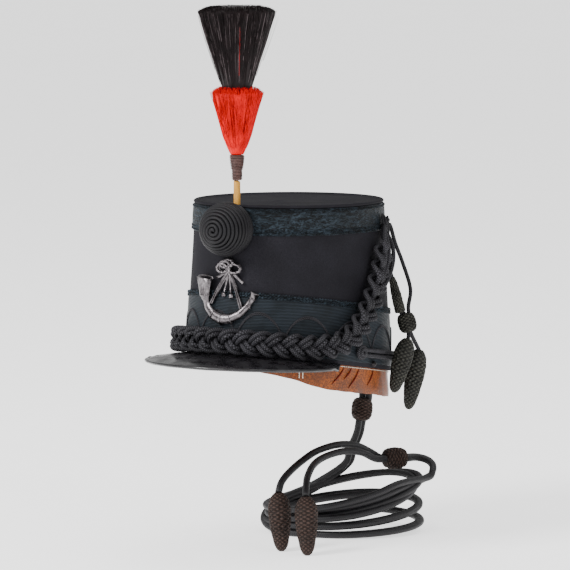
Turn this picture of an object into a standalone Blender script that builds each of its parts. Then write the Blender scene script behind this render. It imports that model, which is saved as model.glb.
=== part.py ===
"""A rifle officer's shako with its plume, corded boss, bugle badge, plaited lines and body lines.

Lengths are in metres and angles in degrees. +Z is up, the front faces -Y and the wearer's left is +X.
The origin is the middle of the head opening, where a head carries the hat. The top falls a little towards
the back, and the rim more. Places on the crown are given by an angle round it, 0 at the front and positive
to the wearer's left, a height, and a distance off its outer face.
"""

import math

import bmesh
import bpy
from mathutils import Vector

MM = 0.001
GAP = 0.3 * MM  # left between pieces that touch
LEAD = 3 * MM  # how far a cord runs straight where it enters a piece
SHARP = 40  # angle between faces over which an edge is left sharp

# Crown: an oval cone of cloth over felt
RIM_LONG = 100.5 * MM  # half the length from front to back
RIM_WIDE = 80 * MM
TOP_LONG = 88.5 * MM
TOP_WIDE = 74.5 * MM
CROWN_HEIGHT = 135.5 * MM  # at the middle
TOP_FALL = 0.016  # drop of the top for each length towards the back
RIM_FALL = 0.16  # the same for the rim
WALL = 2.5 * MM
CROWN_STEPS = 40
TOP_SHEET = 1.6 * MM
TOP_WELT = 0.6 * MM  # how far the welt round the top stands up
TOP_SAG = 0.8 * MM

# Lace bands sewn round the crown
LACE = 1.0 * MM
UPPER_BAND_DEPTH = 22 * MM
UPPER_BAND_DOWN = 0.5 * MM  # from the crown's top edge to the band
LOWER_BAND_DEPTH = 49 * MM
LOWER_BAND_UP = 3.5 * MM  # from the rim to the band

# Sweatband of brown leather, pulled down below the rim
SWEAT_LEATHER = 1.5 * MM
SWEAT_INSIDE = 24 * MM
SWEAT_DROPS = [  # angle, drop below the rim
    (-180, 13 * MM),
    (-150, 9 * MM),
    (5, 9 * MM),
    (30, 13.5 * MM),
    (62, 22 * MM),
    (150, 22 * MM),
    (180, 13 * MM),
]

# Peak of patent leather
PEAK_LEATHER = 2.2 * MM
PEAK_REACH = 52.4 * MM
PEAK_END_REACH = 3 * MM
PEAK_SPAN = 65  # the angle where each end meets the rim
PEAK_DROOP = 5.1 * MM
PEAK_CROWN = 2.0 * MM  # how far the middle of the leather arches
PEAK_ROUND = 0.62  # power that rounds the outline
PEAK_SEAT = 0.9 * MM  # from the crown to the inner edge, which leans
PEAK_STEPS = 22
STUD_ANGLE = 90
STUD_RISE = 3.5 * MM
STUD_RADIUS = 2.6 * MM
STUD_HEIGHT = 2.9 * MM
STUD_STEPS = 12

# Corded boss at the front
BOSS_RADIUS = 22.5 * MM
BOSS_FORWARD = 8 * MM  # from its seat on the lace to the middle of the ball
BOSS_HEIGHT = 119 * MM
BOSS_CORD = 4.8 * MM
BOSS_GROOVE = 1.4 * MM  # between its turns
BOSS_STEPS = 18

# Bugle badge, in a plane wrapped round the crown: across, up and out. Its tables are in units, and it is 54
# units high.
BADGE_HIGH = 54 * MM
BADGE_UNIT = BADGE_HIGH / 54
BADGE_LOW = 41 * MM  # height of the horn's lowest point
BADGE_SEAT = 0.4 * MM
BADGE_FLAT = 0.55  # thickness of the casting as a share of its width
BADGE_LAYER = 0.07 * MM  # how far each cord of the casting lies over the last
HORN_PATH = [  # across, up, half width
    (-22.4, 37.5, 8.2),
    (-23.0, 30.0, 6.4),
    (-23.0, 23.0, 5.2),
    (-22.2, 18.4, 3.0),
    (-19.4, 13.4, 3.4),
    (-13.2, 7.8, 3.9),
    (-4.8, 4.4, 4.2),
    (3.8, 5.3, 3.8),
    (11.4, 9.6, 3.2),
    (17.4, 16.2, 2.6),
    (21.1, 22.4, 2.2),
    (22.7, 25.6, 3.1),
    (23.3, 27.0, 4.0),
]
HORN_CORD = 1.3  # half width
HORN_CORDS = [[(0.0, 44.0), (-7.6, 32.0), (-15.6, 16.5)], [(0.0, 44.0), (6.8, 31.0), (13.0, 13.0)]]
TASSEL_CORD = 0.9
TASSEL_BALL = [(1.7, 1.0), (1.0, 1.7), (-0.4, 1.9), (-1.7, 1.6), (-2.5, 0.8)]  # up, half width
TASSEL_CORDS = [[(0.0, 43.0), (-2.4, 33.0), (-4.0, 25.0)], [(0.0, 43.0), (1.8, 33.0), (3.0, 24.0)]]
BOW_CORD = 1.3
BOW_LOOPS = [(-5.6, 46.2, 4.8, 3.6), (5.6, 46.2, 4.8, 3.6), (0.0, 50.6, 4.0, 3.0)]  # middle and half sizes
BOW_KNOT = [(-3.1, 1.4), (-2.0, 2.5), (0.0, 3.1), (2.0, 2.5), (3.1, 1.4)]  # up, half width
BOW_MIDDLE = (0.0, 46.6)
HORN_SIDES = 8
LOOP_STEPS = 8
BOW_ENDS = [[(0.0, 45.6), (-5.4, 41.6), (-8.4, 39.4), (-12.0, 38.2)],
            [(0.0, 45.6), (5.0, 41.2), (8.8, 38.2), (12.8, 34.6)]]

# Plume of horsehair
STEM_RADIUS = 2.9 * MM
STEM_INSET = 5.8 * MM  # from the crown's outer face at the top to the stem's middle
STEM_BELOW = 34 * MM  # how far it goes down inside the crown
STEM_ABOVE = 23 * MM
PLUME_STEPS = 14
FERRULE_HIGH = 21 * MM
FERRULE_RADIUS = 6 * MM
RED_HIGH = 50 * MM
RED_RADIUS = 20.9 * MM
BLACK_HIGH = 117 * MM
BLACK_RADIUS = 31.2 * MM
BLACK_DOME = 5 * MM  # how far its top rises in the middle
# Shares of the height and the radius, from the foot up
FERRULE = [(0.0, 0.65), (0.38, 0.65), (0.43, 0.77), (1.0, 1.0)]
RED_HAIR = [(0.0, 0.26), (0.16, 0.43), (0.32, 0.565), (0.56, 0.71), (0.8, 0.86), (1.0, 1.0)]
BLACK_HAIR = [(0.0, 0.10), (0.26, 0.24), (0.44, 0.35), (0.62, 0.57), (0.81, 0.80), (1.0, 1.0)]
BLACK_TOP = [(0.6, 0.7), (1.0, 0.15)]  # share of the dome, share of the radius
RED_LOCKS = 14
BLACK_LOCKS = 16
LOCK_DEPTH = 0.10  # groove between locks as a share of the radius
LOCK_RAGGED = 2.0 * MM
LOCK_WAVES = (2.3, 1.1)  # radians from one lock to the next in its two uneven waves

# Plait of three strands across the front
STRAND_RADIUS = 2.2 * MM
PLAIT_HALF_WIDTH = 7.75 * MM  # swing of a strand across the plait
PLAIT_HALF_DEPTH = 4.4 * MM
PLAIT_PITCH = 40 * MM
PLAIT_POINTS = 7  # for each pitch
PLAIT_STAND_OFF = 0.8 * MM
PLAIT_BELOW_KNOT = 4.8 * MM  # from a knot's foot to the plait's end
PLAIT_RISE = 12.6 * MM  # of its middle above the rim across the front
PLAIT_LEVEL = (-72, 48)  # angles between which it keeps level with the rim
PLAIT_LEVEL_STEP = 12
PLAIT_RIGHT = [  # angle, share of the climb to the knot
    (-113, 1.0),
    (-110, 0.82),
    (-106.5, 0.63),
    (-102.5, 0.44),
    (-98, 0.27),
    (-92, 0.13),
    (-84, 0.04),
]
PLAIT_LEFT = [
    (61, 0.05),
    (70, 0.14),
    (78, 0.31),
    (85, 0.50),
    (90, 0.67),
    (94.5, 0.83),
    (98.5, 1.0),
]

# Knots that hold the plait's ends
KNOT_ANGLES = {"right": -118, "left": 108}
KNOT_HEIGHT = 116 * MM
KNOT_RING = 4.0 * MM
KNOT_SWELL = 2.0 * MM
KNOT_CORD = 1.25 * MM
KNOT_STRETCH = 1.5  # height over width
KNOT_POINTS = 24

# Cords round the back of the rim
RIM_CORD_RADIUS = 2.0 * MM
RIM_CORD_RISES = (10.0 * MM, 14.4 * MM)
RIM_CORD_SPAN = (80, 257)  # angles where the cords leave the plait on the left and on the right
RIM_CORD_POINTS = 22

# Tassels that hang from the left knot: angle, height, distance off the crown
TASSEL_LINE_RADIUS = 1.9 * MM
TASSEL_LINE_STEP = 8 * MM  # between its points
SLEEVE_FOOT = (111.0, 44 * MM, 13.0 * MM)
SLEEVE_HEAD = (107.0, 73 * MM, 9.0 * MM)
SLEEVE_RADIUS = 5.0 * MM
SLEEVE = [(1.0, 0.54), (0.9, 0.68), (0.5, 0.84), (0.0, 1.0)]  # shares of its length and radius
TASSEL_SLIDE_AT = (113, 34 * MM, 17.5 * MM)
TASSEL_SLIDE_AXIS = (-0.25, -0.1, 1.0)
TASSEL_SLIDE_RADIUS = 7.8 * MM
TASSEL_SLIDE_LENGTH = 16 * MM
HANG_ACORNS = [  # head and tip
    ((110.0, 21 * MM, 18.8 * MM), (103.5, -23 * MM, 8.0 * MM)),
    ((122.0, 9 * MM, 25.0 * MM), (118.5, -41 * MM, 13.5 * MM)),
]
HANG_ACORN_RADIUS = 8.6 * MM
TAIL_SPREAD = 2.4 * MM  # half the distance between the two tails where they leave the slide
OUTER_CORD = [(116.5, 100 * MM, 10.0 * MM), (117.5, 84 * MM, 15.0 * MM), (117.5, 62 * MM, 20.5 * MM)]
OUTER_CORD_SEAT = 4.4 * MM  # how far out it enters the slide's top

# An acorn's shape: share of its length from the head, share of its greatest radius
ACORN = [(0.0, 0.40), (0.04, 0.62), (0.12, 0.87), (0.26, 1.0), (0.46, 0.95), (0.7, 0.80), (0.9, 0.60),
         (0.97, 0.42)]
ACORN_STEPS = 10
SLIDE_STEPS = 12
SLIDE = [(0.0, 0.62), (0.07, 0.84), (0.25, 0.98), (0.5, 1.0), (0.75, 0.98), (0.93, 0.84), (1.0, 0.62)]

# Body lines: a doubled cord from a ring at the back, coiled below the hat
LINE_RADIUS = 3.0 * MM
LINE_STEP = 14 * MM  # between its points
LINE_SPREAD = 3.3 * MM  # half the distance between the two cords
RING_HEIGHT = 98 * MM
RING_RADIUS = 7.0 * MM
RING_WIRE = 1.2 * MM
RING_STEPS = 12
FLOOR = -152 * MM  # where the coil and the acorns stand
LINE_BACK = [(0.0, 88.9, 3.4), (1.0, 70, 6.4), (3.0, 30, 9.4), (5.0, 0, 10.6), (7.0, -24, 11.0),
             (8.0, -42.3, 11.4)]  # across, height, distance off the crown's back, in millimetres
LINE_DROP = [(4.6, 108.7, -74.0), (-2.4, 109.2, -88.0)]
LINE_FOOT = (-8.4, 109.8)  # where the two cords meet the coil's top
UPPER_SLIDE = (8.0, 109.4, -52.3)
UPPER_SLIDE_RADIUS = 9.2 * MM
UPPER_SLIDE_LENGTH = 19 * MM
UPPER_SLIDE_AXIS = (0.06, 0.08, 1.0)
COIL_AT = (11.6, 71.2)
COIL_TURN = 31  # angle of its longer axis from +X
COIL_HALF_LONG = 75 * MM
COIL_HALF_WIDE = 58 * MM
COIL_THICK = 26 * MM
COIL_HEIGHT = 50 * MM
COIL_STEPS = 24
LOWER_SLIDE = (42.0, 107.0)  # it lies on the coil
LOWER_SLIDE_AXIS = (-0.55, -0.83, 0.04)
LOWER_SLIDE_RADIUS = 9.4 * MM
LOWER_SLIDE_LENGTH = 21 * MM
LINE_ENDS = [
    [(29.5, 86.0, -85.0), (26.0, 68.0, -77.5), (21.2, 45.0, -74.5), (16.0, 20.0, -77.0),
     (14.6, -2.0, -82.5), (14.4, -23.0, -89.5), (15.6, -38.0, -96.0), (17.4, -46.0, -103.7)],
    [(37.0, 82.0, -90.0), (33.5, 64.0, -82.5), (28.0, 43.0, -79.5), (24.5, 20.0, -81.0),
     (27.0, -4.0, -84.5), (35.0, -28.0, -91.0), (43.0, -44.0, -97.5), (47.5, -52.0, -103.7)],
]
LINE_ACORN_TIPS = [(23.0, -50.0), (52.0, -57.0)]
LINE_ACORN_RADIUS = 9.8 * MM

PARTS = "shako"
HELPERS = "shako_cutters"


def clear_scene():
    """Removes what the scene holds and makes the two collections."""
    for old in list(bpy.data.objects):
        bpy.data.objects.remove(old)
    for name in (PARTS, HELPERS):
        bpy.context.scene.collection.children.link(bpy.data.collections.new(name))


def finish(name, colour, roughness, metallic=0.0):
    """A plain Principled material."""
    material = bpy.data.materials.new(name)
    material.use_nodes = True
    shader = material.node_tree.nodes["Principled BSDF"]
    shader.inputs["Base Color"].default_value = (*colour, 1.0)
    shader.inputs["Roughness"].default_value = roughness
    shader.inputs["Metallic"].default_value = metallic
    return material


def add_part(name, data, material):
    """Links a mesh or curve as a part of the shako."""
    part = bpy.data.objects.new(name, data)
    part.data.materials.append(material)
    bpy.data.collections[PARTS].objects.link(part)
    if part.type == "MESH" and data.polygons:
        data.shade_smooth()
        data.set_sharp_from_angle(angle=math.radians(SHARP))
    return part


def add_helper(name, data):
    """Links a shape that only cuts or joins others."""
    helper = bpy.data.objects.new(name, data)
    helper.hide_render = True
    helper.display_type = "WIRE"
    bpy.data.collections[HELPERS].objects.link(helper)
    return helper


def skin(name, rows, closed_rows=True, closed_round=False, capped=False):
    """A mesh stretched over rows of points.

    closed_rows joins each row's ends, closed_round joins the last row to the first, and capped fills the
    first and last rows. Rows that run up a shape, each anticlockwise from above, face outwards.
    """
    mesh = bpy.data.meshes.new(name)
    shape = bmesh.new()
    grid = [[shape.verts.new(point) for point in row] for row in rows]
    for j in range(len(grid) - (0 if closed_round else 1)):
        low, high = grid[j], grid[(j + 1) % len(grid)]
        for i in range(len(low) - (0 if closed_rows else 1)):
            k = (i + 1) % len(low)
            shape.faces.new((low[i], low[k], high[k], high[i]))
    if capped:
        shape.faces.new(list(reversed(grid[0])))
        shape.faces.new(grid[-1])
    if capped or closed_round:
        bmesh.ops.recalc_face_normals(shape, faces=shape.faces)
    shape.to_mesh(mesh)
    shape.free()
    return mesh


def thicken(part, thickness, outwards):
    """Gives an open surface its wall."""
    wall = part.modifiers.new("wall", "SOLIDIFY")
    wall.thickness = thickness
    wall.offset = 1.0 if outwards else -1.0
    wall.use_even_offset = True


def tube(name, points, radius, material, sides=2, closed=False):
    """A round cord or wire through points."""
    curve = bpy.data.curves.new(name, "CURVE")
    curve.dimensions = "3D"
    curve.bevel_depth = radius
    curve.bevel_resolution = sides
    curve.use_fill_caps = True
    spline = curve.splines.new("POLY")
    spline.points.add(len(points) - 1)
    for knot, point in zip(spline.points, points):
        knot.co = (*point, 1.0)
    spline.use_cyclic_u = closed
    return add_part(name, curve, material)


def turned(name, profile, steps, material, place, axis):
    """A shape turned about an axis, from (height, radius) rows that run down from its top."""
    mesh = bpy.data.meshes.new(name)
    points = [(radius, 0.0, height) for height, radius in profile]
    mesh.from_pydata(points, [(i, i + 1) for i in range(len(points) - 1)], [])
    part = add_part(name, mesh, material)
    screw = part.modifiers.new("turn", "SCREW")
    screw.steps = screw.render_steps = steps
    screw.use_merge_vertices = True
    screw.merge_threshold = 0.00001
    screw.use_smooth_shade = True
    part.location = place
    part.rotation_mode = "QUATERNION"
    part.rotation_quaternion = Vector(axis).to_track_quat("Z", "Y")
    return part


def through(points, step=None, count=None):
    """Evenly spaced points on a smooth curve through the given ones, by their spacing or their number."""
    points = [Vector(point) for point in points]
    points = [2 * points[0] - points[1], *points, 2 * points[-1] - points[-2]]
    fine = []
    pieces = 12
    for a, b, c, d in zip(points, points[1:], points[2:], points[3:]):
        for i in range(pieces):
            t = i / pieces
            fine.append(0.5 * (2 * b + (c - a) * t + (2 * a - 5 * b + 4 * c - d) * t**2
                               + (3 * b - a - 3 * c + d) * t**3))
    fine.append(points[-2])
    lengths = [(b - a).length for a, b in zip(fine, fine[1:])]
    count = count or max(2, round(sum(lengths) / step))
    spacing = sum(lengths) / count
    found, walked = [fine[0]], 0.0
    for a, b, length in zip(fine, fine[1:], lengths):
        while len(found) < count and walked + length >= spacing * len(found):
            found.append(a.lerp(b, (spacing * len(found) - walked) / length))
        walked += length
    return [*found, fine[-1]]


def cord_route(points, step, leaves=None, enters=None):
    """A cord's points, which run straight out of one seat and into another, each (place, axis)."""
    points = list(points)
    if leaves:
        points.insert(0, leaves[0] + leaves[1] * (GAP + LEAD))
    if enters:
        points.append(enters[0] + enters[1] * (GAP + LEAD))
    found = through(points, step)
    if leaves:
        found.insert(0, leaves[0] + leaves[1] * GAP)
    if enters:
        found.append(enters[0] + enters[1] * GAP)
    return found


def millimetres(points):
    """Points given in millimetres, in metres."""
    return [Vector(point) * MM for point in points]


def crown_point(angle, height, off=0.0):
    """A point that far off the crown's outer face."""
    share = height / CROWN_HEIGHT
    wide = RIM_WIDE + (TOP_WIDE - RIM_WIDE) * share + off
    long = RIM_LONG + (TOP_LONG - RIM_LONG) * share + off
    turn = math.radians(angle)
    return Vector((wide * math.sin(turn), -long * math.cos(turn), height))


def facing(point):
    """The way the crown's outer face looks beside a point."""
    share = point.z / CROWN_HEIGHT
    wide = RIM_WIDE + (TOP_WIDE - RIM_WIDE) * share
    long = RIM_LONG + (TOP_LONG - RIM_LONG) * share
    up = point.x**2 * (RIM_WIDE - TOP_WIDE) / wide**3 + point.y**2 * (RIM_LONG - TOP_LONG) / long**3
    return Vector((point.x / wide**2, point.y / long**2, up / CROWN_HEIGHT)).normalized()


def cut_height(angle, middle, fall):
    """Where a plane that falls towards the back cuts the crown's outer face."""
    forward = fall * math.cos(math.radians(angle))
    taper = (TOP_LONG - RIM_LONG) / CROWN_HEIGHT
    return (middle + forward * RIM_LONG) / (1 - forward * taper)


def rim_height(angle):
    """Height of the rim on the crown's outer face."""
    return cut_height(angle, 0.0, RIM_FALL)


def top_height(angle):
    """Height of the crown's top edge on its outer face."""
    return cut_height(angle, CROWN_HEIGHT, TOP_FALL)


def above_rim(angle, rise, off=0.0):
    """A point at that height over the rim."""
    return crown_point(angle, rim_height(angle) + rise, off)


def round_crown(point_at):
    """One point for each step round the crown."""
    return [point_at(360 * i / CROWN_STEPS) for i in range(CROWN_STEPS)]


def ease(value, low, high):
    """0 at low and 1 at high, with a smooth change between."""
    share = min(1.0, max(0.0, (value - low) / (high - low)))
    return share * share * (3 - 2 * share)


def between(rows, place):
    """The value at a place in a table of (place, value) rows, with a smooth change between rows."""
    for (low, before), (high, after) in zip(rows, rows[1:]):
        if place <= high:
            return before + (after - before) * ease(place, low, high)
    return rows[-1][1]


def make_crown(cloth):
    """The tapered wall and the welted top, with a hole for the plume's stem."""
    rows = [
        round_crown(lambda angle: above_rim(angle, 0.0)),
        round_crown(lambda angle: crown_point(angle, top_height(angle))),
    ]
    side = add_part("crown_side", skin("crown_side", rows), cloth)
    thicken(side, WALL, outwards=False)

    over = TOP_SHEET + TOP_SAG
    top = [  # share of the way out, height above the crown's top edge
        (1.0, 0.0),
        (1.0, over),
        (0.985, over + TOP_WELT),
        (0.955, over + TOP_WELT),
        (0.93, over),
        (0.5, over - TOP_SAG),
    ]

    def top_point(angle, share, up):
        edge = crown_point(angle, top_height(angle))
        place = Vector((edge.x * share, edge.y * share, CROWN_HEIGHT + GAP + up))
        place.z -= TOP_FALL * place.y
        return place

    rows = [round_crown(lambda angle, share=share, up=up: top_point(angle, share, up)) for share, up in top]
    crown_top = add_part("crown_top", skin("crown_top", rows, capped=True), cloth)

    hole = bpy.data.meshes.new("stem_hole")
    drill = bmesh.new()
    bmesh.ops.create_cone(drill, cap_ends=True, segments=24, radius1=STEM_RADIUS + GAP,
                          radius2=STEM_RADIUS + GAP, depth=STEM_BELOW)
    drill.to_mesh(hole)
    drill.free()
    cutter = add_helper("stem_hole", hole)
    cutter.location = stem_foot() + Vector((0, 0, STEM_BELOW))
    cut = crown_top.modifiers.new("stem_hole", "BOOLEAN")
    cut.operation = "DIFFERENCE"
    cut.object = cutter


def make_band(name, low_at, high_at, lace):
    """A lace band laid on the crown between two lines."""
    part = add_part(name, skin(name, [round_crown(low_at), round_crown(high_at)]), lace)
    thicken(part, LACE, outwards=True)


def make_bands(lace):
    """The upper band along the top and the lower one along the rim."""
    low = UPPER_BAND_DOWN + UPPER_BAND_DEPTH
    make_band("upper_band",
              lambda angle: crown_point(angle, top_height(angle) - low, GAP),
              lambda angle: crown_point(angle, top_height(angle) - UPPER_BAND_DOWN, GAP), lace)
    make_band("lower_band",
              lambda angle: above_rim(angle, LOWER_BAND_UP, GAP),
              lambda angle: above_rim(angle, LOWER_BAND_UP + LOWER_BAND_DEPTH, GAP), lace)


def make_sweatband(leather):
    """The leather inside the rim, pulled down unevenly below it."""

    def drop(angle):
        return between(SWEAT_DROPS, angle if angle <= 180 else angle - 360)

    inside = -(WALL + GAP)
    rows = [
        round_crown(lambda angle: above_rim(angle, -drop(angle), inside)),
        round_crown(lambda angle: above_rim(angle, SWEAT_INSIDE, inside)),
    ]
    thicken(add_part("sweatband", skin("sweatband", rows), leather), SWEAT_LEATHER, outwards=False)


def make_peak(leather, metal):
    """The peak, from the rim out, and the stud at each of its ends."""
    shares = (0.0, 0.35, 0.75, 1.0)
    rows = []
    for share in shares:
        row = []
        for i in range(PEAK_STEPS + 1):
            angle = PEAK_SPAN * (2 * i / PEAK_STEPS - 1)
            width = math.cos(math.radians(90 * angle / PEAK_SPAN)) ** PEAK_ROUND
            reach = PEAK_END_REACH + (PEAK_REACH - PEAK_END_REACH) * width
            inner = above_rim(angle, PEAK_LEATHER / 2, PEAK_SEAT)
            outer = above_rim(angle, PEAK_LEATHER / 2, reach)
            outer.z -= PEAK_DROOP * math.sqrt(width)
            point = inner.lerp(outer, share)
            point.z += PEAK_CROWN * width * 4 * share * (1 - share)
            row.append(point)
        rows.append(row)
    rows.reverse()
    thicken(add_part("peak", skin("peak", rows, closed_rows=False), leather), PEAK_LEATHER,
            outwards=False)
    for side, name in ((1, "peak_stud_left"), (-1, "peak_stud_right")):
        foot = above_rim(side * STUD_ANGLE, STUD_RISE, LACE + 3 * GAP)
        dome = [(STUD_HEIGHT * math.sin(math.radians(t)), STUD_RADIUS * math.cos(math.radians(t)))
                for t in (90, 60, 30, 0)]
        turned(name, [*dome, (0.0, 0.0)], STUD_STEPS, metal, foot, facing(foot))


def make_boss(cord):
    """A ball wound from one cord, flat at the back where it sits on the upper band."""
    seat = crown_point(0, BOSS_HEIGHT, LACE + 2 * GAP)
    lean = math.atan2(RIM_LONG - TOP_LONG, CROWN_HEIGHT)
    axis = Vector((0, -math.cos(lean), math.sin(lean)))
    widest = math.acos(-BOSS_FORWARD / BOSS_RADIUS)
    turns = round(BOSS_RADIUS * widest / BOSS_CORD)
    groove = BOSS_RADIUS - BOSS_GROOVE
    profile = [(BOSS_FORWARD + BOSS_RADIUS, 0.0)]
    for i in range(turns):
        for share, radius in ((0.5, BOSS_RADIUS), (1.0, groove)):
            angle = widest * (i + share) / turns
            profile.append((BOSS_FORWARD + radius * math.cos(angle), radius * math.sin(angle)))
    profile[-1] = (0.0, profile[-1][1])
    profile.append((0.0, 0.0))
    turned("boss", profile, BOSS_STEPS, cord, seat, axis)


def badge_place(across, up, out):
    """A point of the badge, wrapped round the crown over the lower band."""
    height = BADGE_LOW + up
    wide = crown_point(90, height).x
    return crown_point(math.degrees(across / wide), height, LACE + GAP + BADGE_SEAT + out)


def cast(name, path, radii, closed=False, lift=0.0, sides=6):
    """One cast strand of the badge, oval in section, along (across, up) points."""
    rows = []
    for i, (middle, radius) in enumerate(zip(path, radii)):
        before = path[i - 1] if closed or i else middle
        after = path[(i + 1) % len(path)] if closed or i + 1 < len(path) else middle
        along = (after - before).normalized()
        row = []
        for k in range(sides):
            turn = 2 * math.pi * k / sides
            over = radius * math.cos(turn)
            place = middle + Vector((-along.y, along.x)) * over
            row.append(badge_place(place.x, place.y, lift + radius * BADGE_FLAT * (1 + math.sin(turn))))
        rows.append(row)
    return skin(name, rows, closed_round=closed, capped=not closed)


def make_badge(metal):
    """The bugle horn hung by cords from a bow, with two tassels, cast in one."""

    def add_shape(rows, closed=False):
        path = [Vector(row[:2]) * BADGE_UNIT for row in rows]
        shapes.append((path, [row[2] * BADGE_UNIT for row in rows], closed))

    def add_ball(middle, rows):
        add_shape([(middle[0], middle[1] + up, wide) for up, wide in rows])

    path = [Vector(row[:2]) * BADGE_UNIT for row in HORN_PATH]
    horn = cast("bugle_badge", path, [row[2] * BADGE_UNIT for row in HORN_PATH], sides=HORN_SIDES)
    badge = add_part("bugle_badge", horn, metal)
    shapes = []
    for points in HORN_CORDS:
        add_shape([(*point, HORN_CORD) for point in points])
    for points in BOW_ENDS:
        add_shape([(*point, BOW_CORD) for point in points])
    for points in TASSEL_CORDS:
        add_shape([(*point, TASSEL_CORD) for point in points])
        add_ball(points[-1], TASSEL_BALL)
    for across, up, half_wide, half_high in BOW_LOOPS:
        turns = [2 * math.pi * i / LOOP_STEPS for i in range(LOOP_STEPS)]
        add_shape([(across + half_wide * math.cos(turn), up + half_high * math.sin(turn), BOW_CORD)
                   for turn in turns], closed=True)
    add_ball(BOW_MIDDLE, BOW_KNOT)
    for i, (path, radii, closed) in enumerate(shapes, start=1):
        name = f"badge_piece_{i}"
        piece = add_helper(name, cast(name, path, radii, closed, BADGE_LAYER * i))
        join = badge.modifiers.new(piece.name, "BOOLEAN")
        join.operation = "UNION"
        join.solver = "MANIFOLD"
        join.object = piece


def stem_foot():
    """The lower end of the plume's stem, inside the crown behind the boss."""
    place = crown_point(0, CROWN_HEIGHT, -STEM_INSET)
    return Vector((0.0, place.y, CROWN_HEIGHT - STEM_BELOW))


def locks(profile, count, foot, depth_at):
    """Rows of points up a tuft whose surface is grooved into locks."""
    rows = []
    for height, radius in profile:
        row = []
        for i in range(2 * count):
            turn = math.pi * i / count
            groove = 1 - depth_at(height) * (i % 2)
            row.append(foot + Vector((radius * groove * math.sin(turn), -radius * groove * math.cos(turn),
                                      height)))
        rows.append(row)
    return rows


def ragged(rows, row):
    """Makes a row of lock ends uneven."""
    for i, point in enumerate(rows[row]):
        point.z += LOCK_RAGGED / 2 * sum(math.sin(wave * (i + 1)) for wave in LOCK_WAVES)


def sized(rows, high, radius):
    """A table of shares as (height, radius) rows."""
    return [(share * high, part * radius) for share, part in rows]


def make_plume(wood, thread, red, black):
    """The stem, the bound ferrule, the short red tuft and the tall black one that rises out of it."""
    foot = stem_foot()
    length = STEM_BELOW + STEM_ABOVE
    turned("plume_stem", [(length, 0.0), (length, STEM_RADIUS), (0.0, STEM_RADIUS), (0.0, 0.0)],
           PLUME_STEPS, wood, foot, (0, 0, 1))
    ferrule_foot = foot + Vector((0, 0, length + GAP))
    ferrule = sized(reversed(FERRULE), FERRULE_HIGH, FERRULE_RADIUS)
    turned("plume_ferrule", [(FERRULE_HIGH, 0.0), *ferrule, (0.0, 0.0)], PLUME_STEPS, thread,
           ferrule_foot, (0, 0, 1))
    hair_foot = ferrule_foot + Vector((0, 0, FERRULE_HIGH + GAP))

    profile = sized(BLACK_HAIR, BLACK_HIGH, BLACK_RADIUS)
    profile += [(BLACK_HIGH + up, radius) for up, radius in sized(BLACK_TOP, BLACK_DOME, BLACK_RADIUS)]
    rows = locks(profile, BLACK_LOCKS, hair_foot,
                 lambda height: LOCK_DEPTH * ease(height, RED_HIGH, BLACK_HIGH))
    ragged(rows, len(BLACK_HAIR) - 1)
    add_part("plume_black", skin("plume_black", rows, capped=True), black)

    rows = locks(sized(RED_HAIR, RED_HIGH, RED_RADIUS), RED_LOCKS, hair_foot,
                 lambda height: LOCK_DEPTH * ease(height, 0.0, RED_HIGH))
    ragged(rows, len(RED_HAIR) - 1)
    inside = [RED_HIGH, *(share * BLACK_HIGH for share, _ in reversed(BLACK_HAIR)
                          if share * BLACK_HIGH < RED_HIGH)]
    inner = [(height, black_radius(height) + 2 * GAP) for height in inside]
    rows += locks(inner, RED_LOCKS, hair_foot, lambda height: 0.0)
    add_part("plume_red", skin("plume_red", rows, closed_round=True), red)


def black_radius(height):
    """Radius of the black tuft at a height above the ferrule."""
    rows = sized(BLACK_HAIR, BLACK_HIGH, BLACK_RADIUS)
    for (low, small), (high, large) in zip(rows, rows[1:]):
        if height <= high:
            return small + (large - small) * (height - low) / (high - low)
    return rows[-1][1]


def plait_middle():
    """The middle line of the plait, from the right knot round the front to the left one."""
    off = GAP + LACE + PLAIT_STAND_OFF + PLAIT_HALF_DEPTH + STRAND_RADIUS
    end = KNOT_HEIGHT - KNOT_STRETCH * (KNOT_RING + KNOT_SWELL) - PLAIT_BELOW_KNOT
    first, last = PLAIT_LEVEL
    level = [(angle, 0.0) for angle in range(first, last + 1, PLAIT_LEVEL_STEP)]
    points = []
    for angle, share in PLAIT_RIGHT + level + PLAIT_LEFT:
        low = rim_height(angle) + PLAIT_RISE
        points.append(crown_point(angle, low + (end - low) * share, off))
    return points


def make_plait(cord):
    """Three strands that pass over and under each other along the plait's middle line."""
    route = plait_middle()
    length = sum((b - a).length for a, b in zip(route, route[1:]))
    middle = through(route, count=PLAIT_POINTS * round(length / PLAIT_PITCH))
    for strand in range(3):
        points = []
        for i, point in enumerate(middle):
            along = (middle[min(i + 1, len(middle) - 1)] - middle[max(i - 1, 0)]).normalized()
            across = along.cross(facing(point)).normalized()
            out = across.cross(along)
            turn = 2 * math.pi * (i / PLAIT_POINTS + strand / 3)
            points.append(point + across * PLAIT_HALF_WIDTH * math.sin(turn)
                          + out * PLAIT_HALF_DEPTH * math.sin(2 * turn))
        tube(f"plait_strand_{strand + 1}", points, STRAND_RADIUS, cord, sides=1)


def knot_points(side):
    """A side's knot, an overhand loop drawn long and laid on the lace."""
    middle = crown_point(KNOT_ANGLES[side], KNOT_HEIGHT, 2 * GAP + LACE + KNOT_SWELL + KNOT_CORD)
    away = facing(middle)
    across = away.cross(Vector((0, 0, 1))).normalized()
    up = across.cross(away)
    points = []
    for i in range(KNOT_POINTS):
        t = 2 * math.pi * i / KNOT_POINTS
        ring = KNOT_RING + KNOT_SWELL * math.cos(3 * t)
        points.append(middle + across * ring * math.cos(2 * t) + away * KNOT_SWELL * math.sin(3 * t)
                      + up * KNOT_STRETCH * ring * math.sin(2 * t))
    return points


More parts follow.
